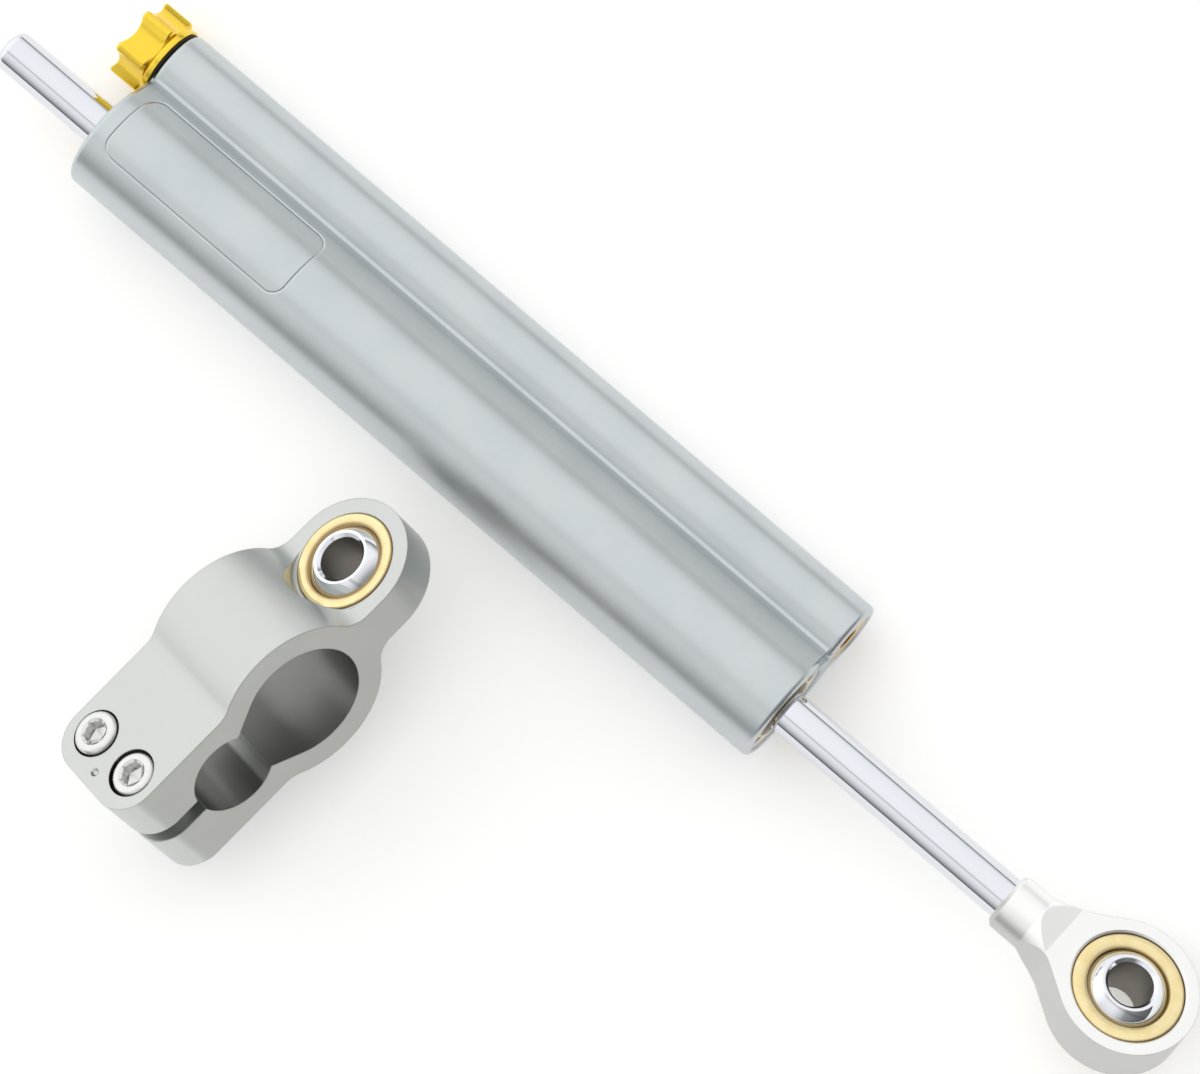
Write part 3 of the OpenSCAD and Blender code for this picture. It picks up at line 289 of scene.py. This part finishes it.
def goldAnodised(name="goldAnodised", base="#F2CF48", rough=0.2):
    # turned aluminium, dyed and anodised gold: deep yellow highlights that fall to orange brown, and turning rings
    # 0.22 mm apart, because a Wave node's bands lie 0.314 / scale apart; grain of 0.45 mm and clouds of 3.3 mm
    p = {"edge": 0.18 * mm, "grainScale": 2200.0, "grainRelief": 0.03, "ringScale": 1400.0, "ringRelief": 0.05,
         "relief": 0.02 * mm, "toneScale": 300.0, "roughSpread": 0.08}
    mat, tree, shader = newMaterial(name, Metallic=1.0, Base_Color=toLinear(base), Roughness=rough)
    coords = objectSpace(tree)
    grain = addNode(tree, "TexNoise", None, Vector=coords, Scale=p["grainScale"], Detail=2.0)
    rings = addNode(tree, "TexWave", {"wave_type": "BANDS", "bands_direction": "X"}, Vector=coords,
                    Scale=p["ringScale"], Distortion=0.6, Detail=1.0)
    normal = softEdges(tree, p["edge"])
    normal = bumped(tree, rings.outputs["Fac"], p["ringRelief"], p["relief"], normal)
    normal = bumped(tree, grain.outputs["Fac"], p["grainRelief"], p["relief"], normal)
    tree.links.new(normal, shader.inputs["Normal"])
    tone = addNode(tree, "TexNoise", None, Vector=coords, Scale=p["toneScale"], Detail=3.0)
    cloudy = reckon(tree, "MULTIPLY_ADD", tone.outputs["Fac"], p["roughSpread"], rough - p["roughSpread"] / 2)
    tree.links.new(cloudy, shader.inputs["Roughness"])
    return mat


def hardChrome():
    # hard chromed, centreless-ground and polished steel: mirror with faint lengthwise wipe marks, 0.4 mm wide and
    # 13 mm long
    p = {"colour": "#DDDFE5", "leastRough": 0.025, "roughSpread": 0.05, "wipeStretch": 0.03, "wipeScale": 2500.0,
         "wipeRelief": 0.03, "relief": 0.01 * mm}
    mat, tree, shader = newMaterial("hardChrome", Metallic=1.0, Base_Color=toLinear(p["colour"]))
    coords = objectSpace(tree, stretch=(p["wipeStretch"], 1, 1))
    wipes = addNode(tree, "TexNoise", None, Vector=coords, Scale=p["wipeScale"], Detail=3.0)
    rough = reckon(tree, "MULTIPLY_ADD", wipes.outputs["Fac"], p["roughSpread"], p["leastRough"])
    tree.links.new(rough, shader.inputs["Roughness"])
    tree.links.new(bumped(tree, wipes.outputs["Fac"], p["wipeRelief"], p["relief"]), shader.inputs["Normal"])
    return mat


def axisDistance(tree, centre, axis):
    # distance of a point from a line, in millimetres: the length of (point - centre) x axis, with a unit axis
    coords = addNode(tree, "TexCoord")
    moved = addNode(tree, "VectorMath", {"operation": "SUBTRACT"}, _0=coords.outputs["Object"], _1=centre)
    crossed = addNode(tree, "VectorMath", {"operation": "CROSS_PRODUCT"}, _0=moved.outputs[0], _1=axis)
    length = addNode(tree, "VectorMath", {"operation": "LENGTH"}, _0=crossed.outputs[0])
    return reckon(tree, "MULTIPLY", length.outputs["Value"], 1 / mm)


def polishedBall(name, centre, axis):
    # lapped bearing steel with chrome: a clean mirror outside with a haze of 2 mm, and the bore left dull as it was
    # reamed, with painted shade: its colour is darker
    p = {"mirror": "#E4E6EB", "boreShadeTone": "#8A8580", "boreReach": 4.12, "hazeScale": 500.0, "leastRough": 0.04,
         "roughSpread": 0.05, "boreRough": 0.45}
    mat, tree, shader = newMaterial(name, Metallic=1.0)
    inBore = reckon(tree, "LESS_THAN", axisDistance(tree, centre, axis), p["boreReach"])
    # painted shade: the bore's walls are drawn in a darker colour
    mixInto(tree, shader, inBore, p["mirror"], p["boreShadeTone"])
    haze = addNode(tree, "TexNoise", None, Vector=objectSpace(tree), Scale=p["hazeScale"], Detail=4.0)
    lapped = reckon(tree, "MULTIPLY_ADD", haze.outputs["Fac"], p["roughSpread"], p["leastRough"])
    tree.links.new(reckon(tree, "MULTIPLY_ADD", inBore, p["boreRough"], lapped), shader.inputs["Roughness"])
    return mat


def turnedBrass(name, centre, axis, outer):
    # race turned from pale bearing brass: bright, with concentric tool rings round its own axis, 6 to a millimetre,
    # patches of 2.4 mm, and painted shade in brown at its edges where it meets the eye and the ball
    p = {"deepTone": "#E8D08A", "paleTone": "#F8ECC4", "paintedGapShade": "#7A5A2C", "rough": 0.17, "patchScale": 420.0,
         "ringScale": 6.0, "ringRelief": 0.35, "relief": 0.02 * mm, "span": 12.0, "ballSide": (7.2, 7.7),
         "eyeSide": (0.03, 0.012), "shares": (0.75, 0.12, 0.0, 0.8)}
    mat, tree, shader = newMaterial(name, Metallic=1.0, Roughness=p["rough"])
    away = axisDistance(tree, centre, axis)
    patches = addNode(tree, "TexNoise", None, Vector=objectSpace(tree), Scale=p["patchScale"], Detail=3.0)
    rings = addNode(tree, "TexNoise", {"noise_dimensions": "1D"}, W=away, Scale=p["ringScale"], Detail=3.0)
    tint = addNode(tree, "Mix", {"data_type": "RGBA"}, Factor=patches.outputs["Fac"], _6=toLinear(p["deepTone"]),
                   _7=toLinear(p["paleTone"]))
    # the painted shade's share, by distance from the race's axis as a part of the span
    near, low, clear, far = p["shares"]
    paintedGapShade = ramp(tree, reckon(tree, "DIVIDE", away, p["span"]),
                [(0.0, near), (p["ballSide"][0] / p["span"], near), (p["ballSide"][1] / p["span"], low),
                 (outer / p["span"] - p["eyeSide"][0], clear), (outer / p["span"] - p["eyeSide"][1], far)])
    # painted shade: the brown is mixed into the brass by that share, at the edges next to the ball and the eye
    withGapShade = addNode(tree, "Mix", {"data_type": "RGBA"}, Factor=paintedGapShade, _6=tint.outputs[2], _7=toLinear(p["paintedGapShade"]))
    tree.links.new(withGapShade.outputs[2], shader.inputs["Base Color"])
    tree.links.new(bumped(tree, rings.outputs["Fac"], p["ringRelief"], p["relief"]), shader.inputs["Normal"])
    return mat


def smoothShare(tree, value, start, full):
    # 0 below start, 1 past full, and an S curve between
    return addNode(tree, "MapRange", {"interpolation_type": "SMOOTHSTEP"}, Value=value, From_Min=start,
                   From_Max=full).outputs[0]


def blastedAluminium(name, base, rough, grit, edge, paintedFaceLight, paintedBoreShade=None):
    # bead-blasted and anodised aluminium: even matt sheen with pebbles the size of the grit, clouds of 6 mm and
    # softly bright edges. Faces square to an axis get painted light, another tone mixed in by |normal . axis|; a
    # bore, where the surface looks back at the bore's centre, is painted darker as painted shade
    p = {"cloudScale": 160.0, "roughSpread": 0.10, "pebbleRelief": 0.25, "relief": 0.02 * mm,
         "inward": (2 * mm, 4 * mm)}
    mat, tree, shader = newMaterial(name, Metallic=1.0)
    plain = addNode(tree, "TexCoord")
    # painted light: faces square to the axis take their own tone by |normal . axis|, standing in for how the light
    # falls on them
    square = addNode(tree, "VectorMath", {"operation": "DOT_PRODUCT"}, _0=plain.outputs["Normal"],
                     _1=paintedFaceLight["axis"])
    share = smoothShare(tree, reckon(tree, "ABSOLUTE", square.outputs["Value"]), paintedFaceLight["from"], paintedFaceLight["to"])
    tone = addNode(tree, "Mix", {"data_type": "RGBA"}, Factor=share, _6=toLinear(base),
                   _7=toLinear(paintedFaceLight["colour"])).outputs[2]
    # painted shade: walls that look back at the bore's centre are drawn in a darker colour
    if paintedBoreShade:
        away = addNode(tree, "VectorMath", {"operation": "SUBTRACT"}, _0=paintedBoreShade["centre"],
                       _1=plain.outputs["Object"])
        inward = addNode(tree, "VectorMath", {"operation": "DOT_PRODUCT"}, _0=plain.outputs["Normal"],
                         _1=away.outputs[0])
        inside = smoothShare(tree, inward.outputs["Value"], *p["inward"])
        tone = addNode(tree, "Mix", {"data_type": "RGBA"}, Factor=inside, _6=tone,
                       _7=toLinear(paintedBoreShade["colour"])).outputs[2]
    tree.links.new(tone, shader.inputs["Base Color"])
    coords = objectSpace(tree)
    pebbles = addNode(tree, "TexVoronoi", {"feature": "SMOOTH_F1"}, Vector=coords, Scale=1 / grit)
    cloud = addNode(tree, "TexNoise", None, Vector=coords, Scale=p["cloudScale"], Detail=4.0)
    cloudy = reckon(tree, "MULTIPLY_ADD", cloud.outputs["Fac"], p["roughSpread"], rough - p["roughSpread"] / 2)
    tree.links.new(cloudy, shader.inputs["Roughness"])
    normal = bumped(tree, pebbles.outputs["Distance"], p["pebbleRelief"], p["relief"], softEdges(tree, edge))
    tree.links.new(normal, shader.inputs["Normal"])
    return mat


def zincPlatedSteel():
    # bright zinc plated alloy steel: pale grey, with faint clouds of 1.4 mm
    p = {"darkTone": "#CFCFCF", "paleTone": "#E6E6E4", "cloudScale": 700.0, "leastRough": 0.20, "roughSpread": 0.15,
         "edge": 0.1 * mm}
    mat, tree, shader = newMaterial("zincPlatedSteel", Metallic=1.0)
    cloud = addNode(tree, "TexNoise", None, Vector=objectSpace(tree), Scale=p["cloudScale"], Detail=4.0)
    mixInto(tree, shader, cloud.outputs["Fac"], p["darkTone"], p["paleTone"])
    rough = reckon(tree, "MULTIPLY_ADD", cloud.outputs["Fac"], p["roughSpread"], p["leastRough"])
    tree.links.new(rough, shader.inputs["Roughness"])
    tree.links.new(softEdges(tree, p["edge"]), shader.inputs["Normal"])
    return mat


def grained(name, base, rough, grain, relief=0.02 * mm, **surface):
    # one even colour with a fine grain raised by a noise; grain is its scale, detail and strength
    scale, detail, strength = grain
    mat, tree, shader = newMaterial(name, Base_Color=toLinear(base), Roughness=rough, **surface)
    noise = addNode(tree, "TexNoise", None, Vector=objectSpace(tree), Scale=scale, Detail=detail)
    tree.links.new(bumped(tree, noise.outputs["Fac"], strength, relief), shader.inputs["Normal"])
    return mat


def mattRubber():
    # moulded nitrile: soft black with a dusty grain of 0.33 mm
    return grained("mattRubber", "#141416", 0.62, (3000.0, 2.0, 0.2), Metallic=0.0, IOR=1.5)


def plainTurned(name, base, rough):
    # turned metal inside the body: even sheen with light tool marks of 0.56 mm
    return grained(name, base, rough, (1800.0, 3.0, 0.1), Metallic=1.0)


def sealPolymer(name, base, rough=0.5):
    # machined seal polymer: slightly waxy, with a grain of 0.67 mm
    return grained(name, base, rough, (1500.0, 3.0, 0.15), Metallic=0.0, IOR=1.45)


# where the two spherical bearings stand, in the frame's own numbers
mounts = {m["name"]: m for m in frame["record"]["mounts"]}
eyeAxis = tuple(mounts["rod_end_bore"]["axis"])
clampUp = tuple(mounts["clamp_ball_bore"]["axis"])
clampBall = tuple(mounts["clamp_ball_bore"]["pos_m"])
clampBore = tuple(mounts["clamp_bore"]["pos_m"])
clampAlong = tuple(mounts["clamp_bore"]["axis"])

finish = {
    "body_silver": satinAnodisedBody(),
    "gold": goldAnodised(),
    "chrome": hardChrome(),
    "rubber": mattRubber(),
    "seal": sealPolymer("sealPolyurethane", "#2B3A30"),
    "bronze": plainTurned("sinteredBronze", "#A8835A", 0.45),
    "brass": plainTurned("turnedBrass", "#D8BC78", 0.25),
    "steel": zincPlatedSteel(),
    "piston_aluminium": plainTurned("turnedAluminium", "#C8C9CA", 0.3),
    "guide_band": sealPolymer("filledFluoropolymer", "#E4DFD0"),
    # painted highlight: the rod end's faces square to the eye's axis, its top and the top of its neck, are drawn in a
    # paler tone
    "rod_end_silver": blastedAluminium("satinRodEnd", "#C9C9C8", 0.40, 0.22 * mm, 0.25 * mm,
                                       {"axis": eyeAxis, "from": 0.25, "to": 0.8, "colour": "#F5F5F3"}),
    # painted shade: the clamp's faces square to its bore are drawn in a darker tone, and its bore walls darker still
    "clamp_silver": blastedAluminium("blastedClamp", "#C5C7C4", 0.34, 0.26 * mm, 0.3 * mm,
                                     {"axis": clampAlong, "from": 0.9, "to": 0.98, "colour": "#B0B1AD"},
                                     {"centre": clampBore, "colour": "#7D7D79"}),
}
ownFinish = {
    "rod_end_race": turnedBrass("turnedRaceRodEnd", (0, 0, 0), eyeAxis, 10.1),
    "clamp_race": turnedBrass("turnedRaceClamp", clampBall, clampUp, 9.3),
    "rod_end_ball": polishedBall("polishedBallRodEnd", (0, 0, 0), eyeAxis),
    "clamp_ball": polishedBall("polishedBallClamp", clampBall, clampUp),
    "rod_side_wiper": sealPolymer("amberWiperRodSide", "#6A4E20", 0.35),
    "knob_side_wiper": sealPolymer("amberWiperKnobSide", "#6A4E20", 0.35),
    "end_plug": goldAnodised("paleAnodisedPlug", "#E2BE84", 0.26),
}
for part in frame["record"]["subparts"]:
    mesh = nodes[part["node"]].data
    mesh.materials.clear()
    mesh.materials.append(ownFinish.get(part["node"]) or finish[part["material_slot"]])
bodyOf = {node: body for body, group in frame["record"]["behaviour"]["bodies"].items() for node in group}
print("materials ready:", len(finish) + len(ownFinish))


def roundedLine(corners, radii, steps=5, spare=0.25):
    # straight runs between corners, each corner but the ends replaced by an arc of its own radius: the arc's centre
    # lies on the bisector at radius / sin(half angle); one more point beside each arc, a share of the radius away,
    # keeps the runs straight
    pts, radii = np.array(corners, float), np.array(radii, float)[:, None]
    towards = lambda q: (q - pts[1:-1]) / np.linalg.norm(q - pts[1:-1], axis=1)[:, None]
    a, b = towards(pts[:-2]), towards(pts[2:])
    half = np.arccos(np.clip((a * b).sum(1), -1, 1))[:, None] / 2
    run, bisector = radii / np.tan(half), (a + b) / np.linalg.norm(a + b, axis=1)[:, None]
    centre = pts[1:-1] + bisector * radii / np.sin(half)
    start, end, swing = pts[1:-1] + a * run - centre, pts[1:-1] + b * run - centre, np.pi - 2 * half
    t = np.linspace(0, 1, steps)[:, None, None]
    arc = centre + (np.sin((1 - t) * swing) * start + np.sin(t * swing) * end) / np.sin(swing)
    beside = spare * radii
    rows = np.concatenate([(pts[1:-1] + a * (run + beside))[None], arc, (pts[1:-1] + b * (run + beside))[None]])
    return np.vstack([pts[:1], rows.transpose(1, 0, 2).reshape(-1, 2), pts[-1:]])


def carried(rows, t):
    # rows of (r, z), each a number or a value for every angle t, as (r cos t, r sin t, z)
    r = np.stack([np.broadcast_to(row[0], t.shape) for row in rows], axis=1)
    z = np.stack([np.broadcast_to(row[1], t.shape) for row in rows], axis=1)
    return np.stack([r * np.cos(t)[:, None], r * np.sin(t)[:, None], z], axis=2)


def turned(profile, around=192):
    # surface of revolution of an (r, z) profile
    return carried(profile, np.linspace(0, 2 * np.pi, around, endpoint=False))


def placed(grid, centre, along, across):
    # from millimetres in a piece's own axes to metres in the frame: its z lies on along, its x on across
    w = np.array(along) / np.linalg.norm(along)
    u = np.array(across) - w * np.dot(across, w)
    u /= np.linalg.norm(u)
    return np.array(centre) + (grid @ np.array([u, np.cross(w, u), w])) * mm


sharpFrom = math.radians(38)   # edges steeper than this are drawn sharp


def makePiece(name, grids, material, body, replaced, looped=True):
    # one mesh from grids that close round their first side; along the second they close too when looped, and
    # otherwise both ends are poles, each joined to one point by a fan
    points, faces, count = [], [], 0
    for grid in grids:
        around, rows = grid.shape[:2]
        if not looped:
            poles = grid[:, [0, -1]].mean(axis=0)
            grid = grid[:, 1:-1]
            rows -= 2
        i, j = np.meshgrid(np.arange(around), np.arange(rows if looped else rows - 1), indexing="ij")
        spot = lambda m, n: count + (m % around) * rows + n % rows
        quads = np.stack([spot(i, j), spot(i + 1, j), spot(i + 1, j + 1), spot(i, j + 1)], axis=2).reshape(-1, 4)
        flat = grid.reshape(-1, 3)
        if not looped:
            k = np.arange(around)
            first, last = count + len(flat), count + len(flat) + 1
            fans = [np.stack([spot(k + 1, 0), spot(k, 0), 0 * k + first], axis=1),
                    np.stack([spot(k, rows - 1), spot(k + 1, rows - 1), 0 * k + last], axis=1)]
            flat = np.vstack([flat, poles])
            faces += np.vstack(fans).tolist()
        faces += quads.tolist()
        points.append(flat)
        count += len(flat)
    mesh = bpy.data.meshes.new(name)
    mesh.from_pydata(np.vstack(points).tolist(), [], faces)
    tools = bmesh.new()
    tools.from_mesh(mesh)
    if tools.calc_volume(signed=True) < 0:
        bmesh.ops.reverse_faces(tools, faces=tools.faces[:])
    tools.to_mesh(mesh)
    tools.free()
    mesh.shade_smooth()
    mesh.set_sharp_from_angle(angle=sharpFrom)
    mesh.materials.append(material)
    piece = bpy.data.objects.new(name, mesh)
    bpy.context.scene.collection.objects.link(piece)
    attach(piece, body)
    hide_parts(replaced)


# both spherical bearings, in millimetres
bearing = {"ballR": 7.94, "halfWidth": 6.0, "boreR": 4.0, "chamfer": 0.7, "rimRounding": [0.3, 0.45, 0.45, 0.3],
           "ballRows": 65, "seatRows": 49, "gap": 0.03, "play": 0.01, "mouth": 0.7, "seatEnd": 0.66, "crown": 0.22,
           "crownAt": (0, 0.18, 0.4, 0.6, 0.82, 1), "faceRounding": [0.25, 0.3, 0.3, 0.3, 0.3, 0.42],
           "raceHalf": {"rod_end_race": 4.3, "clamp_race": 4.7},
           "raceR": {"rod_end_race": 10.1, "clamp_race": 9.3}}


def makeBall(name, centre, axis, body, replaced):
    # sphere cut by two flats and bored: z runs from flat to flat with r = sqrt(R^2 - z^2), and the way back goes
    # through both chamfers and the bore
    p = bearing
    reach = math.asin(p["halfWidth"] / p["ballR"])
    t = np.linspace(-reach, reach, p["ballRows"])
    sphere = p["ballR"] * np.stack([np.cos(t), np.sin(t)], axis=1)
    outer, bore, mouth = p["ballR"] * math.cos(reach), p["boreR"], p["halfWidth"] - p["chamfer"]
    back = roundedLine([(outer, p["halfWidth"]), (bore + p["chamfer"], p["halfWidth"]), (bore, mouth),
                        (bore, -mouth), (bore + p["chamfer"], -p["halfWidth"]), (outer, -p["halfWidth"])],
                       p["rimRounding"])
    grid = placed(turned(np.vstack([sphere, back[1:-1]])), centre, axis, (1, 0, 0))
    makePiece(name, [grid], ownFinish[replaced], body, replaced)


def makeRace(name, centre, axis, body, replaced):
    # ring whose bore is the ball's sphere grown by the gap, with a conical lead-in, a softly crowned face
    # (rise = crown * (1 - u^2) across its width) and rounded outer edges
    p = bearing
    w, r, inner = p["raceHalf"][replaced], p["raceR"][replaced] - p["play"], p["ballR"] + p["gap"]
    reach = math.asin(w / inner)
    t = np.linspace(-reach, reach, p["seatRows"])[::-1]
    seat = inner * np.stack([np.cos(t), np.sin(t)], axis=1)
    seat = seat[np.abs(seat[:, 1]) < w - p["seatEnd"]]
    lip = inner * math.cos(reach) + p["mouth"]
    crown = [(lip + (r - lip) * k, w - p["crown"] * (2 * k - 1) ** 2) for k in p["crownAt"]]
    corners = [(a, -b) for a, b in crown] + crown[::-1]
    shell = roundedLine([tuple(seat[-1])] + corners + [tuple(seat[0])], p["faceRounding"] + p["faceRounding"][::-1])
    grid = placed(turned(np.vstack([seat, shell[1:-1]])), centre, axis, (1, 0, 0))
    makePiece(name, [grid], ownFinish[replaced], body, replaced)


makeBall("eyeBall", (0, 0, 0), eyeAxis, "rod_ball", "rod_end_ball")
makeBall("bracketBall", clampBall, clampUp, "bracket_ball", "clamp_ball")
makeRace("eyeRace", (0, 0, 0), eyeAxis, "rod_group", "rod_end_race")
makeRace("bracketRace", clampBall, clampUp, "body_and_clamp", "clamp_race")
print("balls and races made")

# the bypass bore's line: so far from the main bore, and so much lower since the damper lies on both its lobes
bypass = {"lobeGap": 16.8, "drop": 3.5}
lieAngle = math.asin(bypass["drop"] / bypass["lobeGap"])


def onBypass(x):
    return (x, bypass["lobeGap"] * math.cos(lieAngle) * mm, -bypass["drop"] * mm)


# in millimetres; z is 0 at the flange's back and falls towards the knob's face
knob = {"ridges": 6, "crestR": 7.8, "scallopR": 6.3, "crestWidth": 1.25, "blend": 0.26, "turn": 222.52,
        "segments": 432,
        "forward": 0.32,                       # how much nearer to the body the flange's back stands than the solid's
        "flangeR": 7.1, "flangeT": 1.22,
        "flangeEdge": [(0.18, 0.0), (0.05, 0.05), (0.0, 0.18)],        # in from its side, in from its face
        "flangeRise": (0.32, 0.04), "neckFoot": (0.2, 0.56), "neckTop": (0.02, 0.5),
        "collar": 0.8, "grip": 6.0,
        "ridgeWall": (0.5, 0.46), "ridgeEnd": [(0.45, 0.43), (0.04, 0.05)], "ridgeStart": 0.03,
        "gripAt": (0.0, 0.03, 0.25, 0.5, 0.75, 0.97, 1.0),
        "edge": 0.3, "edgeMore": 0.35, "edgeInset": 0.75, "edgeAt": (0.25, 0.5, 0.75, 1.0),
        "lipR": 7.4, "dishSlope": 1.4, "dishDepth": 1.8, "dishAt": (0.03, 0.2, 0.4, 0.6, 0.8, 0.97, 1.0),
        "recessR": 2.8, "recess": 2.6, "screwR": 1.3, "spindleR": 2.02, "web": 0.9,
        "insideRounding": [0.12, 0.08, 0.08, 0.05, 0.05]}


def makeKnob(p):
    # rows of r(t), z(t) round the axis: flange, collar, fluted grip, dished face, screw recess and spindle bore.
    # The grip's radius is the lesser of the crest's circle and the scallop's arc,
    # rho = D cos a - sqrt(c^2 - D^2 sin^2 a), blended over a short width so that each ridge has a soft edge
    t = np.linspace(0, 2 * np.pi, p["segments"], endpoint=False)
    step = 2 * np.pi / p["ridges"]
    half = step / 2 - math.asin(p["crestWidth"] / 2 / p["crestR"])
    chord = p["crestR"] * math.sin(half)
    sag = p["crestR"] * math.cos(half) - p["scallopR"]
    cutter = (chord ** 2 + sag ** 2) / (2 * sag)
    far = p["scallopR"] + cutter
    a = np.mod(t, step) - step / 2
    scallop = far * np.cos(a) - np.sqrt(cutter ** 2 - (far * np.sin(a)) ** 2)
    meet = np.maximum(p["blend"] - np.abs(scallop - p["crestR"]), 0) / p["blend"]
    grip = np.minimum(scallop, p["crestR"]) - meet ** 2 * p["blend"] / 4
    rise = (grip - p["scallopR"]) / (p["crestR"] - p["scallopR"])

    # flange and collar
    back = -p["flangeT"] - p["collar"]
    front = back - p["grip"]
    foot = p["scallopR"] + p["neckTop"][0]
    rows = [(p["spindleR"], 0.0)]
    rows += [(p["flangeR"] - inset, -drop) for inset, drop in p["flangeEdge"]]
    rows += [(p["flangeR"] - inset, drop - p["flangeT"]) for inset, drop in p["flangeEdge"][::-1]]
    rows += [(p["flangeR"] - p["flangeRise"][0], -p["flangeT"] - p["flangeRise"][1]),
             (p["scallopR"] + p["neckFoot"][0], back + p["neckFoot"][1]), (foot, back + p["neckTop"][1])]

    # ridges, from their chamfered ends to the knob's face
    wall, wallZ = p["ridgeWall"]
    rows += [(foot + (grip - foot - wall * rise) * k, back + wallZ) for k in (0.5, 1)]
    rows += [(grip - inset * rise, back + z) for inset, z in p["ridgeEnd"]]
    face = lambda r: front + np.maximum(0, p["lipR"] - r) / p["dishSlope"]
    edge = p["edge"] + p["edgeMore"] * rise
    start, top = back - p["ridgeStart"], face(grip) + edge
    rows += [(grip, start + (top - start) * k) for k in p["gripAt"]]
    inset = grip - p["edgeInset"] * edge
    for k in p["edgeAt"]:
        # quarter turn from the grip's wall over to the dish
        s, c = math.sin(k * math.pi / 2), math.cos(k * math.pi / 2)
        rows.append((inset + (grip - inset) * c, face(inset) + (top - face(inset)) * (1 - s)))

    # dish, recess and bores
    floorR = p["lipR"] - p["dishSlope"] * p["dishDepth"]
    rows += [(inset + (floorR - inset) * k, face(inset + (floorR - inset) * k)) for k in p["dishAt"]]
    floorZ, screwZ = front + p["dishDepth"], front + p["recess"]
    spindleZ = screwZ + p["web"]
    inside = roundedLine([(floorR, floorZ), (p["recessR"], floorZ), (p["recessR"], screwZ), (p["screwR"], screwZ),
                          (p["screwR"], spindleZ), (p["spindleR"], spindleZ), (p["spindleR"], 0.0)],
                         p["insideRounding"])
    rows += [(r, z) for r, z in inside[1:-1]]

    turn = math.radians(p["turn"])
    y, z = math.sin(turn), -math.cos(turn)      # the first ridge, before the damper is laid down
    ridge = (0, y * math.cos(lieAngle) + z * math.sin(lieAngle), z * math.cos(lieAngle) - y * math.sin(lieAngle))
    centre = onBypass(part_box("adjuster_knob")[1][0] + p["forward"] * mm)
    grid = placed(carried(rows, t), centre, (1, 0, 0), ridge)
    makePiece("flutedKnob", [grid], finish["gold"], "knob_group", "adjuster_knob")


makeKnob(knob)

# in millimetres; near and far are heights from the body's end
knobRing = {"inner": 6.1, "outer": 6.72, "near": -0.03, "far": -0.41, "edge": 0.1}


def makeKnobRing(p):
    # the thin dust ring that closes the gap between the knob's flange and the body: a rectangle with rounded
    # corners, turned round the bypass bore's line
    half = (p["near"] + p["far"]) / 2
    profile = roundedLine([(p["inner"], half), (p["inner"], p["near"]), (p["outer"], p["near"]),
                           (p["outer"], p["far"]), (p["inner"], p["far"]), (p["inner"], half)], [p["edge"]] * 4)
    grid = placed(turned(profile[:-1]), onBypass(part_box("damper_body")[0][0]), (1, 0, 0), (0, 1, 0))
    makePiece("knobDustRing", [grid], finish["rubber"], bodyOf["knob_dust_seal"], "knob_dust_seal")


makeKnobRing(knobRing)
print("knob and its dust ring made")

# in millimetres; heights from the head's foot. One screw stands proud of its seat, as in the photograph
screws = {"reach": 28.6, "pitch": 11.8, "seat": 6.97, "proud": 0.8, "turn": 9.0, "segments": 360,
          "headR": 4.15, "headH": 5.0, "teeth": 60, "toothDepth": 0.035, "toothed": (1.1, 0.25),
          "foot": [(0.1, 0.05), (0.25, 0.0)],                                    # in from the head's side, height
          "rim": [(0.86, 0.0), (0.72, 0.03), (0.45, 0.16), (0.2, 0.40), (0.06, 0.68), (0.01, 0.95)],   # in, down
          "socket": 2.0, "socketDepth": 2.6,
          "drill": [(0.0, -0.5), (0.6, -0.12), (0.97, 0.0), (1.0, 0.04)],       # share of the socket, above its floor
          "lip": [(0.0, 0.42), (2.02, 0.38), (2.5, 0.10), (2.58, 0.02), (2.68, 0.0)],     # least radius, down
          "shankR": 2.5, "length": 16.9, "underHead": 0.2, "tip": 0.5}


def makeClampScrews(p):
    # socket head screws from the socket's floor to the shank's tip; the socket's radius is its half width over
    # cos(angle from the middle of the nearest flat), and the head's side has fine teeth, R + depth * (cos(n t) - 1)
    along, up = np.array(clampAlong), np.array(clampUp)
    across = np.cross(up, along)
    t = np.linspace(0, 2 * np.pi, p["segments"], endpoint=False)
    hexagon = p["socket"] / np.cos(np.mod(t, np.pi / 3) - np.pi / 6)
    toothed = p["headR"] + p["toothDepth"] * (np.cos(p["teeth"] * t) - 1)
    h, shank = p["headH"], p["shankR"]
    rows = [(share * hexagon, h - p["socketDepth"] + z) for share, z in p["drill"]]
    rows += [(np.maximum(hexagon, least), h - down) for least, down in p["lip"]]
    rows += [(p["headR"] - inset, h - down) for inset, down in p["rim"]]
    rows += [(toothed, h - p["toothed"][0]), (toothed, p["toothed"][1])]
    rows += [(p["headR"] - inset, z) for inset, z in p["foot"]]
    rows += [(shank + p["underHead"], 0.0), (shank, -p["underHead"]), (shank, p["tip"] - p["length"]),
             (shank - p["tip"], -p["length"]), (0.0, -p["length"])]
    grid, grids = carried(rows, t), []
    for side in (-1, 1):
        seat = p["seat"] + (p["proud"] if side < 0 else 0)
        centre = np.array(clampBore) + (along * side * p["pitch"] / 2 - across * p["reach"] + up * seat) * mm
        turn = math.radians(side * p["turn"])
        grids.append(placed(grid, centre, up, along * math.cos(turn) + across * math.sin(turn)))
    makePiece("clampScrews", grids, finish["steel"], "body_and_clamp", "clamp_screws", looped=False)


makeClampScrews(screws)
print("clamp screws made")
